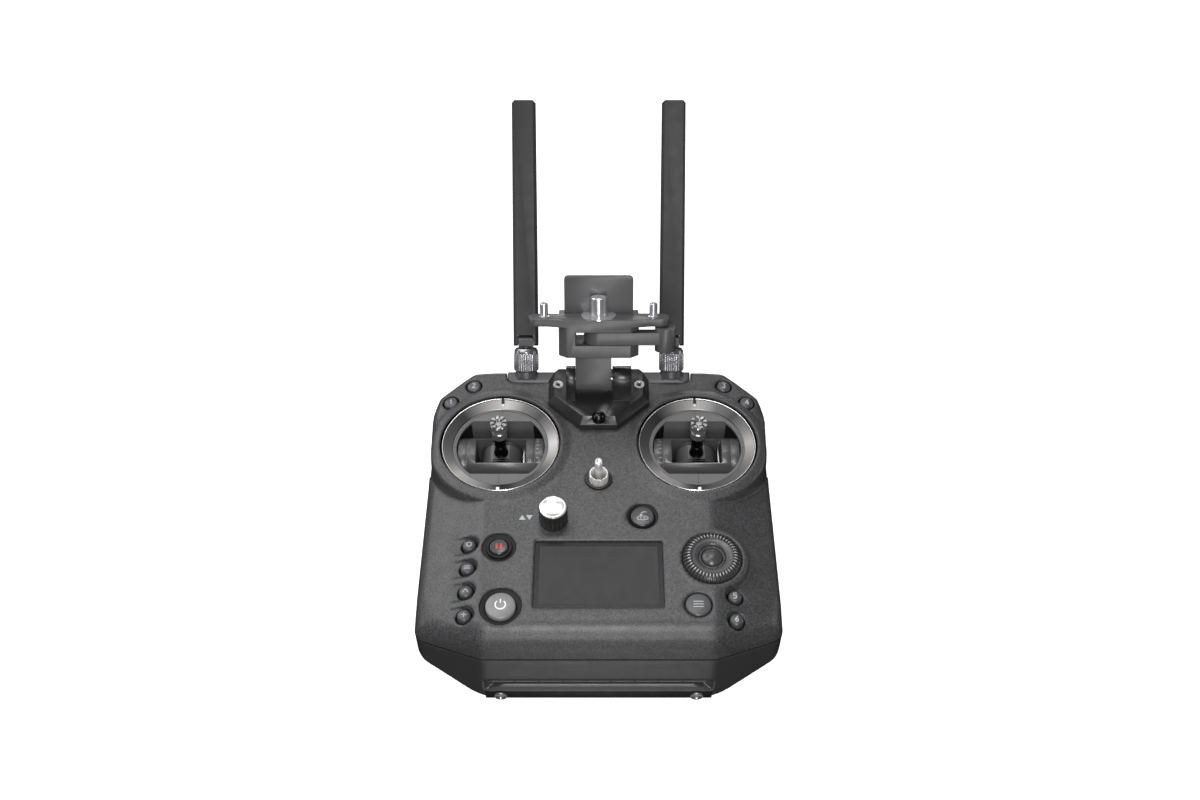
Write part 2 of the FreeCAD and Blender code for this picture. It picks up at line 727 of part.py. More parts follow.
def yoke(side):
    """The outer drum: turns about X and carries the inner drum in its opening."""
    drum = stick_rod(f"{side}_drum", side, "x", "drum_radius", "drum_half_length")
    pin = stick_rod(f"{side}_yoke_pin", side, "x", "yoke_pin", "frame_outer - 0.2")
    x = side_x(side, "stick_x")
    opening = block(f"{side}_opening", (f"{x} - drum_opening_x", f"{x} + drum_opening_x"),
                    ("stick_y - drum_opening_y", "stick_y + drum_opening_y"), ("pivot_z - 20", "pivot_z + 20"))
    bore = stick_rod(f"{side}_yoke_bore", side, "y", "cradle_pin + running_gap", "drum_radius + 1")
    grooves = [rod(f"{side}_groove_{place}", f"{x} + {place} * 18.9 - 0.2", "stick_y", "pivot_z",
                   "drum_radius + 1", "0.4", "x") for place in (-1, 1)]
    core = stick_rod(f"{side}_groove_core", side, "x", "drum_radius - 0.3", "20")
    lines = cut(f"{side}_groove_lines", fuse(f"{side}_grooves", *grooves), core)
    keep(f"{side}_yoke", cut(f"{side}_yoke_final", fuse(f"{side}_yoke_joined", drum, pin), opening, bore, lines))


def cradle(side):
    """The inner drum: turns about Y inside the yoke, with a flat seat for the stick."""
    drum = stick_rod(f"{side}_inner_drum", side, "y", "cradle_radius", "cradle_half_width")
    pin = stick_rod(f"{side}_cradle_pin", side, "y", "cradle_pin", "drum_radius - 0.4")
    x = side_x(side, "stick_x")
    seat = block(f"{side}_seat", (f"{x} - 12", f"{x} + 12"), ("stick_y - 20", "stick_y + 20"),
                 ("stick_foot_z", "stick_foot_z + 10"))
    under = block(f"{side}_under", (f"{x} - 12", f"{x} + 12"), ("stick_y - 20", "stick_y + 20"),
                  ("pivot_z - 20", "pivot_z - 4"))
    keep(f"{side}_cradle", cut(f"{side}_cradle_final", fuse(f"{side}_cradle_joined", drum, pin), seat, under))


def stick(side):
    points = [("0", "stick_foot_z"), ("4.4", "stick_foot_z"), ("4.4", "stick_foot_z + 1.6"),
              ("stick_radius", "stick_foot_z + 5"), ("stick_radius", "cap_z"), ("stick_thread", "cap_z"),
              ("stick_thread", "cap_z + 10"), ("0", "cap_z + 10")]
    keep(f"{side}_stick", at_stick(side, turned(f"{side}_shaft", points)))


def stick_cap(side):
    """The metal end: two gripping bands, a waist and a crown with eight teeth."""
    top = "cap_z + cap_height"
    points = [("stick_thread", "cap_z"), ("cap_radius - 0.9", "cap_z"), ("cap_radius - 0.5", "cap_z + 0.6"),
              ("cap_radius - 0.5", "cap_z + 4.6"), ("cap_radius - 1.2", "cap_z + 5.2"),
              ("cap_radius - 1.2", "cap_z + 6"), ("cap_radius", "cap_z + 7.2"), ("cap_radius", f"{top} - 1.4"),
              ("cap_radius - 0.8", top), ("1.6", top), ("1.6", f"{top} - 1.4"), ("0", f"{top} - 1.4"),
              ("0", "cap_z + 10"), ("stick_thread", "cap_z + 10")]
    body = at_stick(side, turned(f"{side}_cap", points))
    slots = []
    for step in range(4):
        bar = doc.addObject("Part::Box", f"{side}_cap_slot_{step}")
        bind(bar, Length="cap_radius * 2 + 2", Width="1.1", Height="3")
        spin = f"{step} * 45 + 22.5"
        turn(bar, Z_AXIS, spin)
        reach = "(cap_radius + 1)"
        put(bar, f"{side_x(side, 'stick_x')} - {reach} * cos({spin}) + 0.55 * sin({spin})",
            f"stick_y - {reach} * sin({spin}) - 0.55 * cos({spin})", f"{top} - 1.4")
        slots.append(bar)
    keep(f"{side}_stick_cap", cut(f"{side}_cap_final", body, *slots))


# Controls on the face ---------------------------------------------------------------------------

def mode_switch():
    ring = turned("collar", [("5.5", "-4"), ("8.4", "-4"), ("8.4", "-wall"), ("collar_radius - 0.05", "-wall"),
                             ("collar_radius - 0.05", "0.5"), ("5.9", "0.5"), ("5.5", "0")])
    keep("switch_collar", put(ring, "0", "switch_y"))
    nut = turned("dress_nut", [("3.3", "-3"), ("5.4", "-3"), ("5.4", "4.6"), ("4.6", "5.6"), ("3.3", "5.6")])
    keep("switch_nut", put(nut, "0", "switch_y"))
    lever = turned("lever", [("0", "-2"), ("1.5", "-2"), ("1.6", "6"), ("2.25", "13"), ("2.25", "15"),
                             ("1.5", "16.4"), ("0", "16.4")])
    pivot = rod("lever_pivot", "-2.9", "switch_y", "1", "1", "5.8", "x")
    keep("mode_switch", fuse("lever_joined", put(lever, "0", "switch_y"), pivot))


def dial_knob():
    skirt = turned("dial_skirt", [("0", "-10.5"), ("3", "-10.5"), ("3", "0.3"), ("dial_radius", "0.3"),
                                  ("dial_radius - 0.35", "dial_height - 0.8"), ("0", "dial_height - 0.8")])
    keep("dial_knob", put(skirt, "dial_x", "dial_y"))
    disc = turned("dial_top", [("0", "dial_height - 0.8"), ("dial_radius - 0.6", "dial_height - 0.8"),
                               ("dial_radius - 0.6", "dial_height - 0.4"),
                               ("dial_radius - 1.1", "dial_height"), ("0", "dial_height")])
    keep("dial_cap", put(disc, "dial_x", "dial_y"))


def wheel():
    bore = "wheel_axle + running_gap"
    floor = "wheel_floor_z + 0.3"
    points = [(bore, floor), ("wheel_radius", floor), ("wheel_radius", "wheel_top_z - 2"),
              ("wheel_radius - 1.4", "wheel_top_z - 0.2"), ("wheel_radius - 4.2", "wheel_top_z"),
              ("wheel_radius - 5", "wheel_top_z - 0.7"), (bore, "wheel_top_z - 0.9")]
    keep("wheel_ring", put(turned("wheel", points), "wheel_x", "wheel_y"))
    cap = turned("wheel_cap", [("0", "-9.6"), ("6.7", "-9.6"), ("6.7", "-8.6"), ("5.4", "-8.6"), ("5.4", "1"),
                               ("4.6", "1.9"), ("3", "2.5"), ("0", "2.7")])
    keep("wheel_button", put(cap, "wheel_x", "wheel_y"))


def round_button(name, x, y, radius, top, flange_z, crown):
    """A cap with a rounded rim and a flange below the shell that keeps it in."""
    points = [("0", f"{flange_z} - 1"), (f"{radius} + 1.2", f"{flange_z} - 1"), (f"{radius} + 1.2", flange_z),
              (radius, flange_z), (radius, f"{top} - 0.5"), (f"{radius} - 0.5", top), ("0", f"{top} + {crown}")]
    keep(name, put(turned(name + "_cap", points), x, y))


def trim_ring(name, x, y, well, cap, step):
    """The stepped ring that lines a button's well, with a flange under the shell."""
    inner = f"{cap} + cap_gap"
    points = [(inner, "-4.5"), (f"{well} + 0.6", "-4.5"), (f"{well} + 0.6", "-3.5"), (f"{well} - 0.05", "-3.5"),
              (f"{well} - 0.05", "-1.5")]
    if step:
        points += [(f"{inner} + 1.5", "-1.5"), (f"{inner} + 1.5", "-0.5"), (inner, "-0.7")]
    else:
        points += [(inner, "-1.7")]
    return put(turned(name + "_trim", points), x, y)


def face_buttons():
    rings = [trim_ring("home", "home_x", "home_y", "home_well", "home_cap", False),
             trim_ring("pause", "pause_x", "pause_y", "pause_well", "pause_cap", True),
             trim_ring("power", "power_x", "power_y", "power_well", "power_cap", False)]
    keep("button_trim_rings", group("trim_rings", *rings))
    round_button("home_button", "home_x", "home_y", "home_cap", "-0.3", "-5.2", "0.3")
    round_button("pause_button", "pause_x", "pause_y", "pause_cap", "0.3", "-5.2", "0.3")
    round_button("power_button", "power_x", "power_y", "power_cap", "0.2", "-5.2", "0.9")
    round_button("menu_button", "menu_x", "menu_y", "menu_cap", "0.1", "-3.6", "0.2")
    for name, x, y, side in small_buttons():
        round_button(name, x, y, "small_cap", "scoop_z + 1.9", "-8.6", "0.3")
    for name, side, x, y in corner_buttons():
        points = [("0", "-4.8"), ("corner_cap + 1.1", "-4.8"), ("corner_cap + 1.1", "-3.7"),
                  ("corner_cap", "-3.7"), ("corner_cap", "0"), ("corner_cap - 0.5", "0.5"), ("0", "0.8")]
        cap = turn(turned(name + "_cap", points), Y_AXIS, side_x(side, "facet_angle"))
        keep(name, put(cap, side_x(side, x), y, facet_z(x)))


def display():
    half_width = "screen_width / 2 - 0.1"
    half_depth = "screen_depth / 2 - 0.1"
    keep("display_window", block("glass", (f"-({half_width})", half_width), (f"-({half_depth})", half_depth),
                                 ("-screen_sink - window_thick", "-screen_sink")))
    keep("display_module", block("module", ("-screen_width / 2 - 3", "screen_width / 2 + 3"),
                                 ("-screen_depth / 2 - 3", "screen_depth / 2 + 3"), ("-8", "-wall")))


def main_board():
    keep("main_board", block("board", ("-75", "75"), ("-29", "44"), ("-14", "-12.4")))


# Rear dials, battery and holder -------------------------------------------------------------------

def rear_dials():
    for side, x in rear_dial_spots():
        drum = rod(f"{side}_dial_drum", f"{x} - 4", "rear_dial_y", "rear_dial_z", "rear_dial_radius", "8", "x")
        axle = rod(f"{side}_dial_axle", f"{x} - 6", "rear_dial_y", "rear_dial_z", "1.5", "12", "x")
        keep(f"{side}_dial", fuse(f"{side}_dial_joined", drum, axle))


def battery():
    half = "battery_half_width - bay_gap"
    pack = block("pack", (f"-({half})", half), ("battery_front_y + bay_gap", "rear_y"),
                 ("bottom_z", "battery_top_z - bay_gap"))
    grip = block("pack_grip", ("-16", "16"), ("rear_y - 14", "rear_y - 8"), ("bottom_z - 1", "bottom_z + 1.2"))
    keep("battery_pack", cut("pack_final", pack, grip))
    slider = block("slider", ("-9", "9"), ("battery_front_y - 12", "battery_front_y - 6"),
                   ("bottom_z - 0.6", "bottom_z + 1.3"))
    keep("battery_latch", slider)


def bracket_base():
    """The foot of the holder with the two cheeks of its hinge."""
    points = mirrored([("10.3", "94"), ("28.5", "111"), ("28.5", "127"), ("23", "132.5")])
    foot = slab("plate", "XY_Plane", points, "plate_height")
    round_edges(foot, "plate_bevel", "3.6", is_plate_rim, kind="Chamfer")
    put(foot)
    parts = [foot]
    for name, low, high in (("left", "-18.2", "-13.2"), ("right", "7.7", "18.2")):
        parts.append(block(f"{name}_cheek", (low, high), ("hinge_y - hinge_radius", "hinge_y + hinge_radius"),
                           ("plate_height - 1", "hinge_z")))
        parts.append(rod(f"{name}_cheek_round", low, "hinge_y", "hinge_z", "hinge_radius", f"({high}) - ({low})", "x"))
    holes = [rod("hinge_bore", "-20", "hinge_y", "hinge_z", "hinge_pin", "40", "x"),
             rod("ball_notch", "0", "97.5", "plate_height - 3", "3.7", "5")]
    for side in ("left", "right"):
        holes.append(rod(f"{side}_plate_hole", side_x(side, "23"), "121", "plate_height - 1.8", "3.05", "3"))
    keep("bracket_base", cut("base_final", fuse("base_joined", *parts), *holes))


def is_plate_rim(edge):
    """The top rim of the holder's foot along its front and its slanted sides."""
    level = all(abs(vertex.Z - number("plate_height")) < 1e-3 for vertex in edge.Vertexes)
    return level and edge.CenterOfMass.y < 126


def bracket_fasteners():
    parts = [rod("hinge_pin_rod", "-18", "hinge_y", "hinge_z", "hinge_pin", "36", "x")]
    for side in ("left", "right"):
        points = [("0", "-1"), ("1.1", "-1"), ("1.1", "-0.1"), ("2.95", "-0.1"), ("2.95", "-1.8"), ("0", "-1.8")]
        parts.append(put(turned(f"{side}_plate_screw", points), side_x(side, "23"), "121", "plate_height"))
    ball = turned("ball_screw", [("0", "-3"), ("3.4", "-3"), ("3.4", "-0.6"), ("2.6", "1.2"), ("1.2", "2.1"),
                                 ("0", "2.3")])
    parts.append(put(ball, "0", "97.5", "plate_height"))
    keep("bracket_fasteners", group("fasteners", *parts))


def on_head(thing):
    """Lean a piece back about the hinge. Its own frame starts on the hinge axis."""
    turn(thing, X_AXIS, "-head_tilt")
    return put(thing, "0", "hinge_y", "hinge_z")


def head_block(name, x, y, z):
    """A box in the frame of the holder's head."""
    box = doc.addObject("Part::Box", name)
    bind(box, Length=f"({x[1]}) - ({x[0]})", Width=f"({y[1]}) - ({y[0]})", Height=f"({z[1]}) - ({z[0]})")
    return bind(box, **{"Placement.Base.x": x[0], "Placement.Base.y": y[0], "Placement.Base.z": z[0]})


def head_rod(name, x, y, z, radius, length):
    cylinder = doc.addObject("Part::Cylinder", name)
    bind(cylinder, Radius=radius, Height=length)
    return bind(cylinder, **{"Placement.Base.x": x, "Placement.Base.y": y, "Placement.Base.z": z})


def across_rod(name, x, radius, length):
    """A cylinder on the hinge axis."""
    cylinder = doc.addObject("Part::Cylinder", name)
    bind(cylinder, Radius=radius, Height=length)
    turn(cylinder, Y_AXIS, "90")
    return bind(cylinder, **{"Placement.Base.x": x})


def head_slab(name, points, start, thick, rounds=()):
    return bind(slab(name, "XY_Plane", points, thick, rounds=rounds), **{"Placement.Base.z": start})


def bracket_arm():
    barrel = across_rod("arm_barrel", "-12.9", "hinge_radius", "19.9")
    shank = head_block("arm_shank", ("-12.9", "7"), ("-hinge_radius", "hinge_radius"), ("0", "head_start"))
    bore = across_rod("arm_bore", "-15", "hinge_pin + running_gap", "25")
    keep("bracket_arm", on_head(cut("arm_final", fuse("arm_joined", barrel, shank), bore)))


def bracket_head():
    """Two layers over a slot that is open to the right, with a wing on each side of the top."""
    points = mirrored([("17.5", "-head_front"), ("22", "-head_front + 4.5"), ("22", "head_back")])
    core = head_slab("head_core", points, "head_start", "head_height")
    wing_points = mirrored([("17.5", "-head_front"), ("28", "-7"), ("wing_span", "-7"), ("wing_span", "3.5")])
    wings = head_slab("wings", wing_points, "head_start + head_height - wing_thick", "wing_thick",
                      rounds=[([2, 3, 4, 5], "4.6")])
    slot = head_block("head_slot", ("-12.6", "30"), ("-head_front - 3", "head_back + 3"),
                      ("slot_start", "slot_start + slot_height"))
    bore = head_rod("post_bore", "0", "post_y", "slot_start - 4", "3", "30")
    keep("bracket_head", on_head(cut("head_final", fuse("head_joined", core, wings), slot, bore)))


def bracket_pins():
    top = "head_start + head_height"
    post_points = [("0", "slot_start - 4"), ("3", "slot_start - 4"), ("3", top), ("9.5", top),
                   ("9.5", f"{top} + 0.6"), ("4.5", f"{top} + 0.9"), ("4.5", f"{top} + 10.6"),
                   ("4", f"{top} + 11"), ("0", f"{top} + 11")]
    post = bind(turned("post", post_points), **{"Placement.Base.y": "post_y"})
    behind = head_block("behind_post", ("-12", "12"), ("3.7", "12"), ("head_start", "head_start + 40"))
    parts = [on_head(cut("post_final", post, behind))]
    for side in ("left", "right"):
        pin_points = [("0", top), ("3", top), ("3", f"{top} + 0.5"), ("2.2", f"{top} + 0.8"),
                      ("2.2", f"{top} + 7.3"), ("1.8", f"{top} + 7.7"), ("0", f"{top} + 7.7")]
        pin = bind(turned(f"{side}_pin", pin_points),
                   **{"Placement.Base.x": side_x(side, "post_x"), "Placement.Base.y": "-2"})
        parts.append(on_head(group(f"{side}_pin_group", pin)))
    keep("bracket_pins", group("pins", *parts))


def back_plate():
    points = mirrored([("19", "head_start + head_height"), ("19", "head_start + head_height + 21.4")])
    plate = slab("stand_plate", "XZ_Plane", points, "2", middle=True, rounds=[([1, 2], "2.4")])
    bind(plate, **{"Placement.Base.y": "4.8"})
    keep("back_plate", on_head(group("plate_group", plate)))


def lock_lever():
    start = "slot_start + 0.3"
    thick = "slot_height - 0.6"
    hub = head_rod("lever_hub", "0", "post_y", start, "8.2", thick)
    bar = head_block("lever_bar", ("0", "33"), ("post_y - 8.2", "post_y - 1.4"), (start, f"{start} + {thick}"))
    grip = head_rod("lever_grip", "grip_x", "post_y - 3.6", "head_start + 3.1", "5.7", "13.4")
    bore = head_rod("lever_bore", "0", "post_y", "slot_start - 2", "3 + running_gap", "12")
    keep("lock_lever", on_head(cut("lever_final", fuse("lever_joined", hub, bar, grip), bore)))


# The whole part --------------------------------------------------------------------------------

def build():
    top_shell()
    bottom_shell()
    strap_studs()
    rubber_feet()
    case_screws()
    rear_trim()
    keep("stick_rings", group("rings", stick_ring("left"), stick_ring("right")))
    keep("gimbal_bezels", group("bezels", gimbal_bezel("left"), gimbal_bezel("right")))
    for side in ("left", "right"):
        gimbal_frame(side)
        yoke(side)
        cradle(side)
        stick(side)
        stick_cap(side)
        antenna_nut(side)
        antenna_elbow(side)
        antenna_paddle(side)
    mode_switch()
    dial_knob()
    wheel()
    face_buttons()
    display()
    main_board()
    rear_dials()
    battery()
    bracket_base()
    bracket_fasteners()
    bracket_arm()
    bracket_head()
    bracket_pins()
    back_plate()
    lock_lever()


def check():
    """Stop if any feature failed or any piece is not a sound solid."""
    for item in doc.Objects:
        if "Invalid" in item.State or "Error" in item.State:
            raise RuntimeError(f"{item.Name} ({item.Label}) failed: {item.State}")
    for node, thing in pieces.items():
        if thing.Shape.isNull() or not thing.Shape.isValid() or not thing.Shape.Solids:
            raise RuntimeError(f"{node} is not a valid solid")


def export():
    os.makedirs("parts", exist_ok=True)
    for node, thing in pieces.items():
        thing.Shape.exportStep(f"parts/{node}.step")


build()
doc.recompute()
check()
export()
whole = FreeCAD.BoundBox()
for thing in pieces.values():
    whole.add(thing.Shape.BoundBox)
print(f"{len(pieces)} nodes, x {whole.XMin:.2f} {whole.XMax:.2f}, y {whole.YMin:.2f} {whole.YMax:.2f}, "
      f"z {whole.ZMin:.2f} {whole.ZMax:.2f}")
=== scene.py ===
"""The looks of a hand-held radio transmitter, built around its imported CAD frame.

Places and sizes are in millimetres from the middle of the display, with z = 0 on the flat upper
face, as in the CAD model. spot() turns a place into the frame's metres.
"""
import functools
import json
import math

import bmesh
import bpy
import numpy as np
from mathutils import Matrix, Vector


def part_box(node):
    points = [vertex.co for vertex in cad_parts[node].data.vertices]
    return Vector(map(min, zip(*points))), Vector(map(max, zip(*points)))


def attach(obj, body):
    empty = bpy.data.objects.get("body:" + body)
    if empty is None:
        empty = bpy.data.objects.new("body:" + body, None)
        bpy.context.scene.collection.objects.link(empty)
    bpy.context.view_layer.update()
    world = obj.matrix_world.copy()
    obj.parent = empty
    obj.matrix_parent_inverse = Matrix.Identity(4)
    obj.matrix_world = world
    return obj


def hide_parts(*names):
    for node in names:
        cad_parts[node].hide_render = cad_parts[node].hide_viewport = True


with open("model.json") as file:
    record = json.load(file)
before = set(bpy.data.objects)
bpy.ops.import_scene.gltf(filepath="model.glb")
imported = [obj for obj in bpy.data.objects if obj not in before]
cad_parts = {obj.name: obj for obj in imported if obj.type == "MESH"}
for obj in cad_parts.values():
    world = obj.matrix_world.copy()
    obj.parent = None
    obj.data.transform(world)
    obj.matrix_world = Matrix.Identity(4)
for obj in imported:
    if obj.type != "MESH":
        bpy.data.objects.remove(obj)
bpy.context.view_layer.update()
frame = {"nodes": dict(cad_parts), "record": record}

import openvdb
from mathutils import Matrix, Vector

MM = 0.001
glass_low, glass_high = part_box("display_window")
ORIGIN = Vector((0, (glass_low.y + glass_high.y) / 2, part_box("bracket_base")[0].z))

SIDES = (("left", -1), ("right", 1))
CREASE_X = 60.0
FACET = math.tan(math.radians(21.0))
SEAM_Z = -22.0
CORNER_RADIUS = 8.0
BOTTOM_Z = -62.0
WALL = 2.4
STICK = (54.6, 84.5)
SWITCH = (0.0, 60.0)
PIVOT_Z = -19.0
RING_HOLE = 33.3
BOSS_TOP = 1.7
WHEEL = (58.7, 9.2)
SCREEN = (66.3, 40.3)
SCOOP_Z = -5.0
FRONT_Y = -38.0
RECESS_TOP = -43.7
RECESS_FOOT = -53.6
ANTENNA = (42.0, 136.0, 0.5)
PLATE_SCREW = (23.0, 121.0)
REAR_DIAL = (50.0, 131.5, -34.0)
ANTENNA_RISE = math.radians(50.0)
# Painted highlights and shade of the turned rings: how light their colour is at each share of a turn, from
# their left side by way of the front.
PAINTED_SHEEN = ((0.0, 0.1), (0.06, 0.18), (0.12, 0.45), (0.18, 0.25), (0.25, 0.02), (0.33, 0.08),
         (0.39, 0.15), (0.45, 0.25), (0.51, 0.36), (0.56, 0.15), (0.62, 0.03), (0.68, 0.1),
         (0.74, 0.42), (0.8, 0.28), (0.88, 0.04), (1.0, 0.1))
CORNER_SPOTS = {"button_a": (-84.5, 115.5), "button_b": (-72.0, 127.0), "button_c": (72.0, 127.0),
                "button_d": (84.5, 115.5)}
SCREW_SPOTS = [(side * 60.0, y) for side in (-1, 1) for y in (-5.0, 38.0, 124.0)]


def spot(x, y, z=0.0):
    return ORIGIN + Vector((x, y, z)) * MM


def middle(node):
    low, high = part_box(node)
    return (low + high) / 2


# Materials ---

def plain(name, colour, roughness, metallic=0.0, specular=0.5):
    made = bpy.data.materials.new(name)
    made.use_nodes = True
    shader = made.node_tree.nodes["Principled BSDF"]
    shader.inputs["Base Color"].default_value = (*colour, 1)
    shader.inputs["Roughness"].default_value = roughness
    shader.inputs["Metallic"].default_value = metallic
    shader.inputs["Specular IOR Level"].default_value = specular
    return made


def node(made, kind, **values):
    """A new shader node with its input values set by name."""
    new = made.node_tree.nodes.new("ShaderNode" + kind)
    for name, value in values.items():
        new.inputs[name.replace("_", " ")].default_value = value
    return new


def link(made, source, target):
    made.node_tree.links.new(source, target)


def noise(made, size, detail=2.0):
    """Noise whose lumps are about size millimetres across."""
    place = node(made, "TexCoord")
    texture = node(made, "TexNoise", Scale=1 / (size * MM), Detail=detail)
    link(made, place.outputs["Object"], texture.inputs["Vector"])
    return texture.outputs["Fac"]


def ramp(made, source, low, high, start=0.3, end=0.7):
    """Turn a 0 to 1 source into a colour between low and high."""
    colours = node(made, "ValToRGB")
    link(made, source, colours.inputs["Fac"])
    for element, place, colour in zip(colours.color_ramp.elements, (start, end), (low, high)):
        element.position = place
        element.color = (*colour, 1) if hasattr(colour, "__len__") else (colour, colour, colour, 1)
    return colours.outputs["Color"]


def shade(colour, factor):
    return tuple(channel * factor for channel in colour)


def bump(made, source, depth):
    """Raise the surface by up to depth millimetres where source is 1."""
    raised = node(made, "Bump", Distance=depth * MM)
    link(made, source, raised.inputs["Height"])
    feed(made, "Normal", raised.outputs["Normal"])


def feed(made, socket, source):
    link(made, source, made.node_tree.nodes["Principled BSDF"].inputs[socket])


def moulded(name, colour, roughness, grain, depth, speckle, specular=0.5):
    """Moulded plastic: a grain of the given size and depth, with lighter and darker specks."""
    made = plain(name, colour, roughness, specular=specular)
    lumps = noise(made, grain, 1.0)
    light, dark = shade(colour, 1 + speckle), shade(colour, 1 - speckle)
    feed(made, "Base Color", ramp(made, lumps, dark, light, 0.35, 0.65))
    feed(made, "Roughness", ramp(made, noise(made, 6.0), roughness - 0.04, roughness + 0.04))
    bump(made, lumps, depth)
    return made


def metal(name, colour, roughness, polish, spread=0.06):
    """Bare or coated metal with faint marks. A polish below 1 gives it a paler, duller sheen."""
    made = plain(name, colour, roughness, metallic=polish)
    marks = noise(made, 0.4, 4.0)
    feed(made, "Roughness", ramp(made, marks, roughness - spread, roughness + spread))
    feed(made, "Base Color", ramp(made, noise(made, 3.0), shade(colour, 0.93), colour))
    bump(made, marks, 0.004)
    return made


def sheen_painted_metal(name, centre):
    """Metal turned in a lathe, with fine marks and painted highlights and shade: light and dark sweeps round
    the centre in its colour.
    """
    made = plain(name, (0.5, 0.5, 0.5), 0.38, metallic=0.55)
    place = node(made, "TexCoord")
    shift = node(made, "Mapping", Location=tuple(-value for value in spot(*centre)))
    sheen_turn = node(made, "TexGradient")
    sheen_turn.gradient_type = "RADIAL"
    link(made, place.outputs["Object"], shift.inputs["Vector"])
    link(made, shift.outputs["Vector"], sheen_turn.inputs["Vector"])
    colours = node(made, "ValToRGB")
    link(made, sheen_turn.outputs["Fac"], colours.inputs["Fac"])
    points = colours.color_ramp.elements
    for index, (turn, value) in enumerate(PAINTED_SHEEN):
        point = points[index] if index < 2 else points.new(turn)
        point.position = turn
        point.color = (value * 1.02, value, value * 0.99, 1)
    feed(made, "Base Color", colours.outputs["Color"])
    bump(made, noise(made, 0.12, 2.0), 0.003)
    return made


# Each plastic: colour, roughness, grain size and depth in millimetres, speckle, and a specular level
# where it is not the usual one.
PLASTICS = {
    "grained_plastic": ((0.05, 0.05, 0.052), 0.42, 0.85, 0.04, 0.4),
    "lower_plastic": ((0.04, 0.04, 0.041), 0.34, 0.25, 0.004, 0.08),
    "satin_plastic": ((0.06, 0.06, 0.063), 0.36, 0.3, 0.006, 0.06),
    "black_plastic": ((0.022, 0.022, 0.023), 0.42, 0.3, 0.008, 0.12),
    "black_metal": ((0.075, 0.075, 0.077), 0.38, 0.3, 0.006, 0.08),
    "module_plastic": ((0.02, 0.02, 0.02), 0.6, 0.4, 0.01, 0.1),
    "board_laminate": ((0.006, 0.014, 0.009), 0.6, 0.8, 0.01, 0.1),
    "soft_rubber": ((0.018, 0.018, 0.018), 0.7, 0.35, 0.02, 0.15),
    "battery_plastic": ((0.04, 0.04, 0.042), 0.5, 0.5, 0.03, 0.15),
    "cap_plastic": ((0.03, 0.03, 0.031), 0.28, 0.3, 0.004, 0.06),
    "pale_plastic": ((0.2, 0.2, 0.204), 0.3, 0.3, 0.004, 0.04),
    "gloss_black": ((0.02, 0.02, 0.021), 0.22, 0.5, 0.003, 0.08),
    "wheel_plastic": ((0.05, 0.05, 0.052), 0.3, 0.4, 0.0005, 0.04),
    # The bezels' own grey, also on the vent bars as a painted highlight.
    "bezel_grey_and_bar_highlight": ((0.12, 0.12, 0.123), 0.45, 0.3, 0.008, 0.08),
    "base_metal": ((0.016, 0.016, 0.017), 0.3, 0.3, 0.006, 0.08),
    "antenna_plastic": ((0.026, 0.026, 0.027), 0.5, 0.3, 0.006, 0.05, 0.3),
    "drum_plastic": ((0.07, 0.07, 0.072), 0.32, 0.3, 0.005, 0.06),
    "light_mark": ((0.4, 0.41, 0.43), 0.5, 0.4, 0.002, 0.05),
    "white_mark": ((0.85, 0.85, 0.85), 0.45, 0.4, 0.002, 0.03),
    "grey_mark": ((0.4, 0.4, 0.4), 0.5, 0.4, 0.002, 0.05),
    "red_mark": ((0.6, 0.02, 0.02), 0.4, 0.4, 0.002, 0.05),
    # Near-black for the seam joint, and as painted shade in the wells, the screw sockets, the back of the
    # front recess and the foot of the front wall.
    "joint_and_shade_black": ((0.007, 0.007, 0.007), 0.5, 0.4, 0.002, 0.05, 0.25),
    # Light grey on the wheel's black ribs: painted highlights.
    "rib_highlight_grey": ((0.33, 0.33, 0.33), 0.3, 0.4, 0.002, 0.05),
    "shadow_line": ((0.02, 0.02, 0.02), 0.7, 0.4, 0.002, 0.05),
    "picture_area": ((0.045, 0.045, 0.046), 0.5, 9.0, 0.0005, 0.04, 0.15),
}

# Each metal: colour, roughness, polish, and how far the roughness varies where it is not as usual.
METALS = {
    "cap_metal": ((0.3, 0.3, 0.305), 0.28, 0.75),
    "rim_metal": ((0.7, 0.7, 0.7), 0.25, 1.0),
    "bright_metal": ((0.62, 0.62, 0.64), 0.18, 0.7),
    "black_steel": ((0.05, 0.05, 0.053), 0.3, 1.0),
    "screw_steel": ((0.55, 0.55, 0.56), 0.3, 1.0),
    "chrome": ((0.9, 0.89, 0.87), 0.14, 0.55, 0.03),
    "grey_steel": ((0.45, 0.45, 0.46), 0.3, 1.0),
    "pale_steel": ((0.4, 0.4, 0.41), 0.35, 0.7),
    "nut_metal": ((0.32, 0.32, 0.33), 0.26, 0.8),
}


def finishes():
    """The materials by name, with one for each of the record's slots."""
    made = {name: moulded(name, *values) for name, values in PLASTICS.items()}
    made.update({name: metal(name, *values) for name, values in METALS.items()})
    # Both rings' colour holds painted highlights and shade in sweeps round their centres.
    made["brushed_ring"] = sheen_painted_metal("brushed_ring", (*STICK, 0))
    made["left_ring_painted_sheen"] = sheen_painted_metal("left_ring_painted_sheen", (-STICK[0], STICK[1], 0))
    made["dark_window"] = plain("dark_window", (0.008, 0.008, 0.009), 0.25, specular=0.2)
    return made


PAINTS = finishes()
NODE_PAINTS = {"bracket_base": "base_metal"}
for side_name, _ in SIDES:
    NODE_PAINTS[side_name + "_yoke"] = "drum_plastic"
    NODE_PAINTS[side_name + "_cradle"] = "drum_plastic"
    NODE_PAINTS[side_name + "_antenna"] = "antenna_plastic"


def paint_nodes():
    for part in frame["record"]["subparts"]:
        name = part["node"]
        mesh = frame["nodes"][name].data
        mesh.materials.clear()
        mesh.materials.append(PAINTS[NODE_PAINTS.get(name, part["material_slot"])])


# Casing: distances in millimetres on a grid of points, negative inside ---

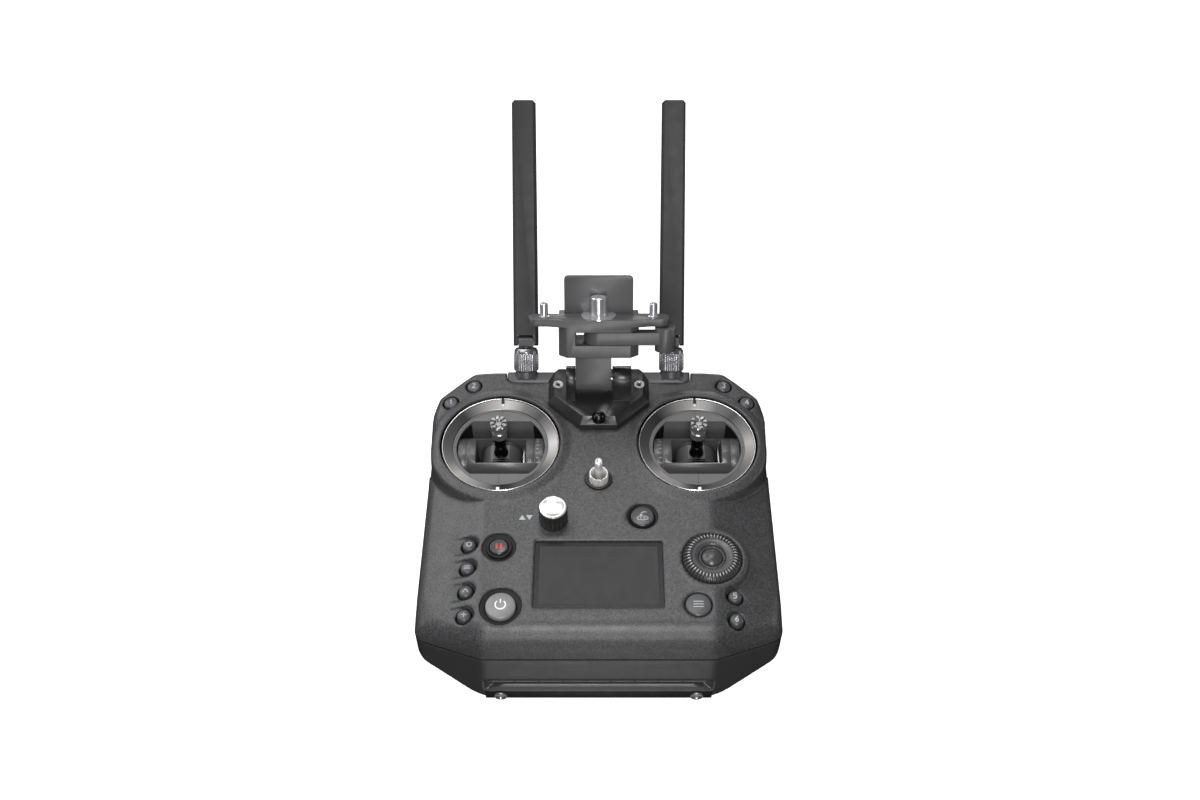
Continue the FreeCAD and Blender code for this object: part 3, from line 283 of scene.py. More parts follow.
def round_max(a, b, radius):
    """Where both solids are, with the edge between them rounded."""
    ua = np.maximum(a + radius, 0)
    ub = np.maximum(b + radius, 0)
    return np.minimum(np.maximum(a, b), -radius) + np.sqrt(ua * ua + ub * ub)


def overlap(*fields):
    """Where all of the solids are, with crisp edges."""
    return functools.reduce(np.maximum, fields)


def soft_max(a, b, width):
    near = np.maximum(width - np.abs(a - b), 0)
    return np.maximum(a, b) + near * near / (4 * width)


def soft_min(a, b, width):
    return -soft_max(-a, -b, width)


def smooth_step(value, start, end):
    share = np.clip((value - start) / (end - start), 0, 1)
    return share * share * (3 - 2 * share)


def polygon(x, y, corners, radius):
    """Distance from a convex polygon, given anticlockwise, whose corners have that radius."""
    inset = inset_corners(corners, radius)
    outside = -1e9
    nearest = 1e9
    for (ax, ay), (bx, by) in zip(inset, inset[1:] + inset[:1]):
        ex, ey = bx - ax, by - ay
        px, py = x - ax, y - ay
        along = np.clip((px * ex + py * ey) / (ex * ex + ey * ey), 0, 1)
        nearest = np.minimum(nearest, (px - along * ex) ** 2 + (py - along * ey) ** 2)
        outside = np.maximum(outside, (px * ey - py * ex) / math.hypot(ex, ey))
    return np.where(outside > 0, np.sqrt(nearest), -np.sqrt(nearest)) - radius


def inset_corners(corners, radius):
    """The polygon's corners after each side has moved inwards by radius."""
    moved = []
    for index, here in enumerate(corners):
        before, after = corners[index - 1], corners[(index + 1) % len(corners)]
        first = (Vector(here) - Vector(before)).normalized()
        second = (Vector(after) - Vector(here)).normalized()
        inward = Vector((-first.y - second.y, first.x + second.x)).normalized()
        lean = inward.dot(Vector((-first.y, first.x)))
        moved.append(tuple(Vector(here) + inward * radius / lean))
    return moved


def outline_corners():
    half = [(CREASE_X, FRONT_Y), (95, -26), (95, 108), (92, 121), (72, 138)]
    return half + [(-x, y) for x, y in reversed(half)]


def plan(x, y):
    """Distance from the casing's outline, seen from above."""
    return polygon(x, y, outline_corners(), CORNER_RADIUS)


class Solid:
    """A solid as distances on a grid, which mesh() turns into a surface."""

    def __init__(self, low_z, high_z, step):
        self.step = step
        self.low = np.array((-97.0, -40.0, low_z))
        counts = np.ceil((np.array((97.0, 140.0, high_z)) - self.low) / step).astype(int) + 1
        axes = [start + step * np.arange(count) for start, count in zip(self.low, counts)]
        self.x, self.y, self.z = np.meshgrid(*axes, indexing="ij", sparse=True)
        self.distance = None

    def near(self, place, reach):
        """The grid's points around a place: their slices, x and y from that place, and z."""
        cuts = []
        for centre, start in zip(place[:2], self.low):
            first = max(int((centre - reach - start) / self.step), 0)
            cuts.append(slice(first, int((centre + reach - start) / self.step) + 2))
        return tuple(cuts), self.x[cuts[0]] - place[0], self.y[:, cuts[1]] - place[1], self.z

    def carve(self, place, reach, shape, radius):
        """Take shape(x, y, z) away near a place, with a rounded edge."""
        cuts, x, y, z = self.near(place, reach)
        self.distance[cuts] = round_max(self.distance[cuts], -shape(x, y, z), radius)

    def cut(self, shape, radius):
        """Take away a shape given as distances, with a rounded edge."""
        self.distance = round_max(self.distance, -shape, radius)

    def bore(self, place, size, radius):
        """A round hole right through."""
        self.carve(place, size + 4, lambda x, y, z: np.hypot(x, y) - size, radius)

    def mesh(self, name, adaptivity):
        grid = openvdb.FloatGrid(float(3 * self.step))
        grid.copyFromArray(np.clip(self.distance, -3 * self.step, 3 * self.step).astype(np.float32))
        points, triangles, quads = grid.convertToPolygons(isovalue=0.0, adaptivity=adaptivity)
        places = (points * self.step + self.low) * MM + np.array(ORIGIN)
        faces = [face[::-1] for face in triangles.tolist()] + [face[::-1] for face in quads.tolist()]
        data = bpy.data.meshes.new(name)
        data.from_pydata(places, [], faces)
        data.validate()
        data.shade_smooth()
        made = bpy.data.objects.new(name, data)
        bpy.context.scene.collection.objects.link(made)
        return made


def face_height(x, y):
    """Height of the casing's upper surface: flat, with a facet on each side and soft bosses."""
    fall = -soft_max((np.abs(x) - CREASE_X) * FACET, 0 * x, 0.7)
    height = fall * (1 - 0.8 * smooth_step(y, 70.0, 117.0))
    for place, top, lip, wide in ((STICK, BOSS_TOP, 34.4, 4.2), ((-STICK[0], STICK[1]), BOSS_TOP, 34.4, 4.2),
                                  (WHEEL, 0.1, 17.0, 1.4)):
        away = np.hypot(x - place[0], y - place[1]) - lip
        boss = top - 0.36 * soft_max(away, 0 * away, 0.5) - 2.6 * np.maximum(away - wide, 0) ** 2
        height = soft_max(height, boss, 0.7)
    return height


def scoop(x, y, side):
    """A finger scoop in plan: a round end that runs out to the side, a little narrower there."""
    out = np.maximum(x * side, 0)
    return np.hypot(np.minimum(x * side, 0), y) - 5.2 + 0.05 * out


def small_buttons():
    """Name, place and side of each small button in a scoop."""
    left = [(f"side_button_{step + 1}", -1) for step in range(4)]
    return [(name, middle(name), side) for name, side in left + [("button_e", 1), ("button_f", 1)]]


def local(place):
    """A place of the frame in millimetres from the middle of the display."""
    return (place - ORIGIN) / MM


def corner_place(name):
    """Where a corner button meets the facet, and how far it leans to its side."""
    x, y = CORNER_SPOTS[name]
    low, here, high = (float(face_height(np.array(abs(x) + step), np.array(y))) for step in (-4, 0, 4))
    return (x, y, here), math.copysign(math.atan((low - high) / 8), x)


def rounded_box(x, y, half_x, half_y, radius):
    ax, ay = np.abs(x) - half_x + radius, np.abs(y) - half_y + radius
    return np.hypot(np.maximum(ax, 0), np.maximum(ay, 0)) + np.minimum(np.maximum(ax, ay), 0) - radius


def top_shell():
    solid = Solid(-24.0, 3.0, 0.5)
    x, y, z = solid.x, solid.y, solid.z
    outline = plan(x, y)
    height = face_height(x, y)
    slope = np.gradient(height[:, :, 0], solid.step)
    lean = 1 / np.sqrt(1 + slope[0] ** 2 + slope[1] ** 2)[:, :, None]
    edge = np.interp(y, [-30, -8, 118, 132], [12.0, 5.5, 5.5, 3.2])
    skin = round_max(outline, (z - height) * lean, edge)
    for name, place, side in small_buttons():
        px, py, _ = local(place)
        out = np.maximum((x - px) * side, 0)
        cut = round_max(scoop(x - px, y - py, side), SCOOP_Z - 0.2 * out - z, 0.6)
        skin = round_max(skin, -cut, 0.5)
    from_wheel = np.hypot(x - WHEEL[0], y - WHEEL[1])
    skin = round_max(skin, -round_max(from_wheel - 15.6, -4.3 - z, 0.5), 0.6)
    solid.distance = overlap(skin, -(skin + WALL))
    axle = round_max(from_wheel - 6.95, overlap(z - 0.9, -6.5 - z), 0.4)
    solid.distance = np.minimum(solid.distance, axle)
    solid.cut(z - SEAM_Z, 0.4)
    solid.cut(overlap(rounded_box(x, y - 149.0, 53.2, 20.2, 4.6), -12.0 - z), 0.3)
    for _, side in SIDES:
        solid.bore((STICK[0] * side, STICK[1]), RING_HOLE, radius=0.8)
    for name, size in (("switch_collar", 7.0), ("dial_knob", 3.3), ("home_button", 8.15),
                       ("pause_button", 8.8), ("power_button", 10.65), ("menu_button", 7.1)):
        px, py, _ = local(middle(name))
        solid.bore((px, py), size, radius=0.7)
    for name, place, side in small_buttons():
        solid.bore(tuple(local(place))[:2], 4.5, radius=0.3)
    for name in CORNER_SPOTS:
        (px, py, pz), tilt = corner_place(name)
        cuts, bx, by, bz = solid.near((px, py), 9)
        across = bx * math.cos(tilt) - (bz - pz) * math.sin(tilt)
        solid.distance[cuts] = round_max(solid.distance[cuts], 4.85 - np.hypot(across, by), 0.4)
    solid.bore(WHEEL, 5.7, radius=0.3)
    solid.cut(rounded_box(x, y, SCREEN[0] / 2, SCREEN[1] / 2, 1.2), 1.1)
    return solid.mesh("upper_casing", 0.15)


def vent_slot(x, y, z):
    """The recess in the front wall, less the sill with slanted ends at its foot."""
    deep = y - FRONT_Y
    room = overlap(z - RECESS_TOP, RECESS_FOOT - z, np.abs(x) - 60.5 + 1.33 * deep, deep - 4.5)
    rise = z - RECESS_FOOT
    sill = overlap((rise - 2.2 * deep) * 0.41, (np.abs(x) - 60.0 + 3.4 * rise) * 0.28, rise - 2.8)
    return overlap(room, -sill)


def bottom_shell():
    solid = Solid(-64.0, -21.0, 0.6)
    x, y, z = solid.x, solid.y, solid.z
    rise = 21.0 / 29.0
    flank = (BOTTOM_Z + (np.abs(x) - 66.0) * rise - z) / math.hypot(1, rise)
    under = soft_max(BOTTOM_Z - z, flank, 3.0)
    skin = round_max(plan(x, y), under, 2.2)
    rib = overlap(np.abs(x) - 62.5, y + 31.1, np.abs(z + 48.3) - 7.7)
    bay = overlap(np.abs(x) - 38.4, 27.6 - y, z + 41.6)
    posts = np.full_like(skin, 1e3)
    for px, py in SCREW_SPOTS:
        posts = np.minimum(posts, overlap(np.hypot(x - px, y - py) - 4.0, z + 26.0))
    inner = np.minimum(np.minimum(rib, bay), posts)
    solid.distance = overlap(skin, np.minimum(-(skin + WALL), inner))
    solid.cut(SEAM_Z - z, 0.5)
    solid.cut(vent_slot(x, y, z), 0.3)
    solid.cut(overlap(np.abs(x) - 36.2, 29.9 - y, z + 43.9), 0.4)
    latch = overlap(np.abs(x) - 9.3, np.abs(y - 22.0) - 4.3, z + 60.4)
    solid.distance = overlap(solid.distance, -latch)
    for px, py in SCREW_SPOTS:
        solid.carve((px, py), 5, lambda a, b, c: overlap(np.hypot(a, b) - 2.7, c + 60.2), 0.3)
    for _, side in SIDES:
        solid.cut(overlap(np.abs(x - 50.0 * side) - 4.4, 126.0 - y, np.abs(z + 34.0) - 8.6), 0.5)
    return solid.mesh("lower_casing", 0.15)


# Pieces ---

def add(name, vertices, faces, sharp=35.0):
    """A new mesh object with smooth faces and sharp edges above an angle."""
    data = bpy.data.meshes.new(name)
    data.from_pydata([tuple(v) for v in vertices], [], faces)
    data.validate()
    data.shade_smooth()
    data.set_sharp_from_angle(angle=math.radians(sharp))
    made = bpy.data.objects.new(name, data)
    bpy.context.scene.collection.objects.link(made)
    return made


def stand(place, lean_x=0.0, lean_y=0.0):
    """A piece's own frame: millimetres from a place, leaned about X and then about Y."""
    lean = Matrix.Rotation(lean_y, 4, "Y") @ Matrix.Rotation(lean_x, 4, "X")
    return Matrix.Translation(spot(*place)) @ lean @ Matrix.Scale(MM, 4)


def spin(name, loops, sides, where, closed=False, sharp=35.0):
    """A turned piece. Each loop is (radius, height), and either may be a function of the angle."""
    vertices = []
    for radius, height in loops:
        for step in range(sides):
            angle = 2 * math.pi * step / sides
            r = radius(angle) if callable(radius) else radius
            h = height(angle) if callable(height) else height
            vertices.append(where @ Vector((r * math.cos(angle), r * math.sin(angle), h)))
    faces = []
    last = len(loops) if closed else len(loops) - 1
    for loop in range(last):
        low, high = loop * sides, (loop + 1) % len(loops) * sides
        for step in range(sides):
            after = (step + 1) % sides
            faces.append((low + step, low + after, high + after, high + step))
    if not closed:
        faces.append(tuple(range(sides))[::-1])
        faces.append(tuple(range((len(loops) - 1) * sides, len(loops) * sides)))
    return add(name, vertices, faces, sharp)


def rounded(points, radius):
    """A closed outline of (radius, height) corners with each corner turned into a short arc."""
    steps = 3
    soft = []
    for index, point in enumerate(points):
        here = Vector(point)
        before, after = Vector(points[index - 1]), Vector(points[(index + 1) % len(points)])
        reach = min(radius, (before - here).length * 0.45, (after - here).length * 0.45)
        start, end = here + (before - here).normalized() * reach, here + (after - here).normalized() * reach
        for step in range(steps + 1):
            t = step / steps
            soft.append(tuple(start * (1 - t) ** 2 + here * 2 * t * (1 - t) + end * t * t))
    return soft


def finish_piece(made, body, slot, *replaced, paint=None):
    made.data.materials.clear()
    made.data.materials.append(PAINTS[paint or slot])
    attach(made, body)
    if replaced:
        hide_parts(*replaced)
    return made


def turned(name, loops, sides, stands, body, slot, *replaced, paint=None, **shape):
    """A turned piece, or copies of it as one object, with its body, slot and paint."""
    made = [spin(name, loops, sides, where, **shape) for where in stands]
    return finish_piece(join(name, made), body, slot, *replaced, paint=paint)


def block(name, where, low, high, round_by, body, slot, paint=None):
    """A small block with its body, slot and paint."""
    return finish_piece(bar(name, where, low, high, round_by), body, slot, paint=paint)


def soften(name):
    """Round the crisp edges of a CAD node with modifiers, which leave its mesh as it is."""
    thing = frame["nodes"][name]
    weld = thing.modifiers.new("weld", "WELD")
    weld.merge_threshold = 0.00001
    flat = thing.modifiers.new("flat", "DECIMATE")
    flat.decimate_type = "DISSOLVE"
    flat.angle_limit = math.radians(0.5)
    edge = thing.modifiers.new("edge", "BEVEL")
    edge.width = 0.35 * MM
    edge.segments = 2
    edge.limit_method = "ANGLE"
    edge.angle_limit = math.radians(30)
    edge.harden_normals = True
    thing.data.shade_smooth()


def join(name, things):
    """Several meshes as one object."""
    if len(things) > 1:
        bpy.ops.object.select_all(action="DESELECT")
        for thing in things:
            thing.select_set(True)
        bpy.context.view_layer.objects.active = things[0]
        bpy.ops.object.join()
    things[0].name = name
    things[0].data.name = name
    return things[0]


def bar(name, where, low, high, round_by=0.15):
    """A small block with rounded edges between two corners."""
    made = bmesh.new()
    bmesh.ops.create_cube(made, size=1)
    size, centre = Vector(high) - Vector(low), (Vector(high) + Vector(low)) / 2
    for vertex in made.verts:
        vertex.co = Vector(a * b for a, b in zip(vertex.co, size)) + centre
    if round_by:
        bmesh.ops.bevel(made, geom=made.edges, offset=round_by, segments=2, affect="EDGES", profile=0.5)
    bmesh.ops.transform(made, matrix=where, verts=made.verts)
    made.verts.index_update()
    vertices = [tuple(vertex.co) for vertex in made.verts]
    faces = [tuple(vertex.index for vertex in face.verts) for face in made.faces]
    made.free()
    return add(name, vertices, faces)


# Flat marks: lists of quads in a plane, laid just over a surface ---

def arc_mark(radius, width, start, end, centre=(0, 0), steps=24):
    """A ring, or part of one, between two angles in degrees."""
    quads = []
    for step in range(steps):
        a, b = (math.radians(start + (end - start) * (step + k) / steps) for k in (0, 1))
        inner, outer = radius - width / 2, radius + width / 2
        quads.append([(centre[0] + r * math.cos(t), centre[1] + r * math.sin(t))
                      for r, t in ((inner, a), (outer, a), (outer, b), (inner, b))])
    return quads


def line_mark(start, end, width):
    """A straight stroke in pieces short enough to follow a curved top."""
    start, end = Vector(start), Vector(end)
    along = (end - start).normalized()
    side = Vector((-along.y, along.x)) * width / 2
    count = max(1, math.ceil((end - start).length / 0.4))
    quads = []
    for step in range(count):
        a, b = (start.lerp(end, (step + k) / count) for k in (0, 1))
        quads.append([tuple(a - side), tuple(b - side), tuple(b + side), tuple(a + side)])
    return quads


def dot_mark(centre, radius):
    return arc_mark(radius / 2, radius, 0, 360, centre, 20)


def lay_mark(name, quads, where, height, paint, body, slot):
    """Marks as a skin 0.06 mm thick whose top follows height(x, y)."""
    vertices = []
    faces = []
    for quad in quads:
        for lift in (-0.03, 0.03):
            base = len(vertices)
            vertices += [where @ Vector((x, y, height(x, y) + lift)) for x, y in quad]
            order = (base, base + 1, base + 2, base + 3)
            faces.append(order if lift > 0 else order[::-1])
        base = len(vertices) - 8
        for k in range(4):
            after = (k + 1) % 4
            faces.append((base + k, base + after, base + 4 + after, base + 4 + k))
    return finish_piece(add(name, vertices, faces, 20), body, slot, paint=paint)


def path_mark(points, width):
    """Straight strokes between points, with a dot on each bend."""
    strokes = [quad for start, end in zip(points, points[1:]) for quad in line_mark(start, end, width)]
    return strokes + [quad for point in points for quad in dot_mark(point, width / 2)]


def digit_mark(digit, height):
    """A numeral from straight strokes."""
    strokes = {1: [(-0.2, 0.75), (0.15, 1), (0.15, -1)],
               2: [(-0.5, 0.8), (0.3, 1), (0.5, 0.4), (-0.5, -1), (0.55, -1)],
               3: [(-0.5, 1), (0.5, 1), (0, 0.15), (0.5, -0.4), (0.1, -1), (-0.5, -0.8)],
               4: [(0.3, -1), (0.3, 1), (-0.55, -0.4), (0.6, -0.4)],
               5: [(0.5, 1), (-0.4, 1), (-0.45, 0.1), (0.4, 0.1), (0.45, -0.7), (0, -1), (-0.5, -0.9)],
               6: [(0.4, 1), (-0.4, 0), (-0.4, -0.8), (0.1, -1), (0.5, -0.6), (0.3, 0), (-0.4, -0.1)]}[digit]
    half = height / 2
    points = [(x * half, y * half) for x, y in strokes]
    return path_mark(points, height * 0.17)


def flat_ring(radius, squash, width, centre):
    """An ellipse of constant stroke, wider than it is high."""
    turns = [math.radians(turn) for turn in range(0, 361, 15)]
    points = [(centre[0] + radius * math.cos(turn), centre[1] + squash * radius * math.sin(turn))
              for turn in turns]
    return path_mark(points, width)


def arrow_head(tip, direction, size):
    """A filled arrow head."""
    point, along = Vector(tip), Vector(direction).normalized()
    side = Vector((-along.y, along.x)) * size * 0.6
    back = point - along * size
    blunt = side * 0.02
    return [[tuple(point + blunt), tuple(back + side), tuple(back - side), tuple(point - blunt)]]


ICONS = {
    "home_button": (flat_ring(2.9, 0.42, 0.42, (0, -1.5)) + dot_mark((-0.9, -1.5), 0.4)
                    + dot_mark((0.9, -1.5), 0.4) + arc_mark(1.9, 0.55, 60, 160, (1.1, 0.6))
                    + arrow_head((-1.2, -0.5), (-0.35, -1), 1.5)),
    "power_button": arc_mark(2.6, 0.6, 130, 410) + line_mark((0, 0.9), (0, 3.3), 0.6),
    "pause_button": [quad for x in (-1.15, 1.15) for quad in line_mark((x, -1.6), (x, 1.6), 0.95)],
    "menu_button": [quad for y in (-1.5, 0, 1.5) for quad in line_mark((-2.6, y), (2.6, y), 0.5)],
    "side_button_1": arc_mark(1.25, 0.42, 0, 360),
    "side_button_2": [quad for y in (0.65, -0.65) for quad in line_mark((-1.6, y), (1.6, y), 0.45)],
    "side_button_3": path_mark([(-1.4, -0.9), (0, 1.1), (1.4, -0.9)], 0.42),
    "side_button_4": line_mark((-1.4, 0), (1.4, 0), 0.45) + line_mark((0, -1.4), (0, 1.4), 0.45),
}
ICONS.update({f"button_{letter}": digit_mark(number, 3.2 if number < 5 else 3.1)
              for number, letter in enumerate("abcdef", 1)})


# Controls ---

def button(name, radius, top, crown, paint=None, lean=0.0, place=None):
    """A domed cap with a soft rim, and the mark on it."""
    x, y, _ = local(middle(name)) if place is None else place
    where = stand((x, y, 0) if place is None else place, lean_y=lean)

    def dome(r):
        return top + crown * (1 - (r / radius) ** 2)

    rim = [(radius, top - 3.4), (radius, top - 0.75), (radius - 0.15, top - 0.3),
           (radius - 0.5, dome(radius - 0.5))]
    loops = rim + [(r, dome(r)) for r in np.linspace(radius - 0.9, 0.05, 9)]
    turned(name + "_cap", loops, 64, [where], name, "satin_plastic", name, paint=paint, sharp=60)
    colour = {"pause_button": "red_mark", "power_button": "white_mark"}.get(name, "light_mark")
    lay_mark(name + "_mark", ICONS[name], where, lambda a, b: dome(math.hypot(a, b)) + 0.02, colour, name,
             "satin_plastic")


def buttons():
    button("home_button", 6.4, -0.35, 0.45, paint="cap_plastic")
    button("pause_button", 4.9, 0.2, 0.4, paint="cap_plastic")
    button("power_button", 7.75, 0.0, 1.2, paint="pale_plastic")
    button("menu_button", 6.6, 0.0, 0.5)
    for name, place, side in small_buttons():
        button(name, 3.5, SCOOP_Z + 1.5, 0.9)
    for name in CORNER_SPOTS:
        place, lean = corner_place(name)
        button(name, 3.95, 0.0, 0.8, lean=lean, place=place)


def trim_rings():
    """The stepped rings that line three of the wells."""
    made = []
    for name, well, cap, step in (("home_button", 8.1, 6.4, False), ("pause_button", 8.75, 4.9, True),
                                  ("power_button", 10.6, 7.75, False)):
        x, y, _ = local(middle(name))
        inner = cap + 0.3
        points = [(inner, -4.5), (well, -4.5), (well, -1.3)]
        points += [(inner + 1.7, -1.7), (inner + 1.5, -0.3), (inner, -0.5)] if step else [(inner, -1.8)]
        made.append(spin(name + "_ring", rounded(points, 0.25), 72, stand((x, y, 0)), closed=True))
    # The rings are painted near-black, darker than their black plastic: painted shade in the wells.
    finish_piece(join("well_rings", made), "casing", "black_plastic", "button_trim_rings",
                 paint="joint_and_shade_black")


def fluted(radius, depth, count):
    """A radius that dips by depth count times round."""
    return lambda angle: radius - depth * max(0.0, math.cos(count * angle)) ** 3


def dial():
    x, y, _ = local(middle("dial_knob"))
    where = stand((x, y, 0))
    skirt = [(3.0, -10.5), (3.0, 0.3), (fluted(7.5, 0.3, 18), 0.3), (fluted(7.75, 0.4, 18), 0.7),
             (fluted(7.45, 0.4, 18), 10.6), (fluted(7.1, 0.3, 18), 11.4), (6.0, 11.4)]
    turned("dial_skirt", skirt, 180, [where], "dial", "black_plastic", "dial_knob", paint="gloss_black")
    cap = [(7.0, 11.0), (7.15, 11.5), (6.95, 11.9), (6.5, 12.12), (6.0, 12.15), (5.8, 12.05), (0.1, 12.05)]
    turned("dial_top", cap, 96, [where], "dial", "bright_metal", "dial_cap", paint="chrome")


def wheel():
    where = stand((*WHEEL, 0))
    count = 44

    def rib(low, high):
        return lambda angle: low + (high - low) * smooth_pulse(math.cos(count * angle))

    loops = [(7.0, -4.0), (15.25, -4.0), (rib(14.3, 15.25), -3.4), (rib(14.3, 15.25), 0.2),
             (rib(14.1, 14.9), rib(0.1, 1.2)), (rib(13.4, 13.9), rib(0.7, 2.2)), (12.6, rib(1.1, 2.6)),
             (11.3, rib(1.5, 2.6)), (11.0, 2.25), (10.6, 2.1), (9.9, 2.0), (7.9, 2.0), (7.3, 1.6), (7.0, 0.9)]
    turned("wheel_rim", loops, count * 8, [where], "wheel", "black_plastic", "wheel_ring",
           paint="wheel_plastic", closed=True, sharp=50)
    bars = []
    for step in range(count):
        lean = Matrix.Rotation(2 * math.pi * step / count, 4, "Z")
        slope = Matrix.Translation((12.6, 0, 2.55)) @ Matrix.Rotation(math.radians(32), 4, "Y")
        bars.append(bar("rib", where @ lean @ slope, (-1.2, -0.32, -0.5), (1.5, 0.32, 0.12), 0.08))
    # The rib bars are painted light grey, unlike the black wheel: painted highlights.
    finish_piece(join("wheel_ribs", bars), "wheel", "black_plastic", paint="rib_highlight_grey")
    crown = [(r, 0.9 + 1.8 * (1 - (r / 5.4) ** 2)) for r in np.linspace(5.0, 0.05, 11)]
    cap = [(5.4, -6.0), (5.4, 0.3), (5.3, 0.75)] + crown
    turned("wheel_cap", cap, 64, [where], "wheel_button", "satin_plastic", "wheel_button",
           paint="wheel_plastic", sharp=60)


def smooth_pulse(wave):
    """A wave with flat tops and flat valleys, from 0 to 1."""
    return 0.5 + 0.5 * max(-1.0, min(1.0, 2.5 * wave))


def toggle():
    where = stand((*SWITCH, 0))
    collar = rounded([(5.5, -4), (6.95, -4), (6.95, 0.6), (6.4, 0.8), (5.5, 0.0)], 0.2)
    turned("collar", collar, 72, [where], "casing", "black_plastic", "switch_collar", closed=True)
    nut = [(3.2, -3), (5.3, -3), (fluted(5.4, 0.5, 8), -1), (fluted(5.4, 0.5, 8), 4.3),
           (fluted(5.1, 0.3, 8), 5.0), (4.8, 5.4), (4.5, 5.4), (4.4, 5.2), (3.6, 2.5)]
    turned("dress_nut", nut, 144, [where], "casing", "bright_metal", "switch_nut", paint="chrome",
           closed=True)

    def flat(radius):
        return lambda angle: radius * (1 - 0.14 * math.cos(2 * angle))

    bat = [(1.3, -2), (1.5, 2.0), (1.9, 5.0), (flat(2.3), 6.6), (flat(2.45), 12.4), (flat(2.5), 14.8),
           (flat(2.3), 15.6), (flat(1.9), 16.2), (1.4, 16.3), (1.1, 15.9), (0.05, 15.8)]
    turned("bat", bat, 64, [where], "mode_switch", "bright_metal", "mode_switch", paint="chrome", sharp=50)


# Sticks ---

def at_stick(side, height=0.0):
    return stand((STICK[0] * side, STICK[1], height))


def stick_ring(name, side):
    """The turned ring of a stick with its bright edge, a near-black block as painted shade in the notch at its
    top, and the white marks at its top and bottom.
    """
    where = at_stick(side)
    loops = [(26.5, -3.0), (26.5, -2.5), (26.75, -2.28), (31.6, -0.35), (31.75, -0.5), (32.4, -0.6),
             (32.6, -0.8), (32.6, -3.0)]
    ring = turned(name + "_ring", loops, 144, [where], "casing", "brushed_ring",
                  paint="left_ring_painted_sheen" if side < 0 else None, closed=True, sharp=12)
    bead = [(31.7, -0.6), (31.75, -0.1), (31.95, 0.16), (32.2, 0.2), (32.4, 0.05), (32.45, -0.7)]
    turned(name + "_bead", bead, 144, [where], "casing", "brushed_ring", paint="rim_metal", closed=True,
           sharp=40)
    # A near-black block standing where the notch at the top is: painted shade.
    block(name + "_notch_shadow", where, (-0.85, 29.6, -2.6), (0.85, 32.55, 0.28), 0.1, "casing",
          "black_plastic", paint="shadow_line")
    slope = 1.93 / 4.85

    def cone(x, y):
        return -2.28 + slope * (math.hypot(x, y) - 26.75) + 0.02

    block(name + "_bottom_mark", where, (-0.9, -31.6, -2.6), (0.9, -29.9, 0.1), 0.1, "casing",
          "brushed_ring", paint="white_mark")
    marks = dot_mark((0, 28.8), 0.75)
    lay_mark(name + "_ring_marks", marks, where, cone, "white_mark", "casing", "brushed_ring")
    return ring


def bezel(name, side):
    """The floor plate round the stick's window, with a raised rim and fine moulding lines."""
    where = at_stick(side)

    def window(grow):
        def radius(angle):
            half = (18.5 + grow) / max(abs(math.sin(angle)), 1e-6)
            return min(24.5 + grow, half)
        return radius

    loops = [(window(0.25), -3.0), (window(0.0), -3.3), (window(0.0), -4.7), (32.4, -4.7), (32.4, -3.0),
             (26.4, -3.0), (26.35, -2.65), (25.6, -2.65), (25.45, -3.0)]
    turned(name + "_bezel", loops, 240, [where], "casing", "black_plastic", paint="bezel_grey_and_bar_highlight",
           closed=True, sharp=30)
    block(name + "_back_wall", where, (-17.5, 18.6, -24.0), (17.5, 19.6, -4.6), 0, "casing",
          "black_plastic", paint="bezel_grey_and_bar_highlight")
    lines = line_mark((0, 18.9), (0, 25.3), 0.16) + line_mark((0, -18.9), (0, -25.3), 0.16)
    lines += dot_mark((0, -24.6), 0.35)
    lines += line_mark((25.0, -0.6), (26.4, -0.6), 0.2) + line_mark((-26.4, -0.6), (-25.0, -0.6), 0.2)
    lay_mark(name + "_bezel_lines", lines, where, lambda x, y: -2.98 if math.hypot(x, y) < 25.4 else -2.63,
             "shadow_line", "casing", "black_plastic")


def drum_details(name, side):
    """Tick marks at one end of the yoke, and the cradle's bands, slot bar and side strip."""
    ticks = []
    for step in range(-4, 5):
        angle = math.radians(step * 11 + 12)
        lean = Matrix.Rotation(angle, 4, "X")
        where = at_stick(side, PIVOT_Z) @ lean
        length = 2.4 if step % 2 == 0 else 1.5
        start = 19.6
        ends = (start, start + length) if side < 0 else (-start - length, -start)
        ticks.append(bar(f"tick_{step}", where, (ends[0], -0.14, 14.5), (ends[1], 0.14, 14.66), 0))
    finish_piece(join(name + "_yoke_ticks", ticks), name + "_yoke", "black_plastic", paint="grey_mark")
    where = at_stick(side, PIVOT_Z)
    block(name + "_strip", where, (12.2, -7.9, 4.0), (13.0, 7.9, 7.2), 0.1, name + "_yoke", "black_steel",
          paint="grey_steel")
    block(name + "_slot_bar", where, (-4.6, -6.6, 9.4), (4.6, -4.6, 11.0), 0.2, name + "_stick",
          "black_steel")
    lean = Matrix.Rotation(math.radians(90), 4, "X")
    bands = []
    for y in (-6.2, 6.2):
        loops = [(11.3, y - 0.25), (11.62, y - 0.2), (11.62, y + 0.2), (11.3, y + 0.25)]
        bands.append(half_band(f"{name}_band", loops, where @ lean, 22, 158))
    finish_piece(join(name + "_bands", bands), name + "_stick", "black_plastic")


def half_band(name, loops, where, start, end):
    """Part of a turned band between two angles in degrees, with closed ends."""
    steps = 40
    vertices = []
    for step in range(steps + 1):
        angle = math.radians(start + (end - start) * step / steps)
        vertices += [where @ Vector((r * math.cos(angle), r * math.sin(angle), h)) for r, h in loops]
    count = len(loops)
    faces = [tuple(range(count))[::-1], tuple(range(steps * count, (steps + 1) * count))]
    for step in range(steps):
        for k in range(count):
            after = (k + 1) % count
            faces.append((step * count + k, step * count + after, (step + 1) * count + after,
                          (step + 1) * count + k))
    return add(name, vertices, faces)


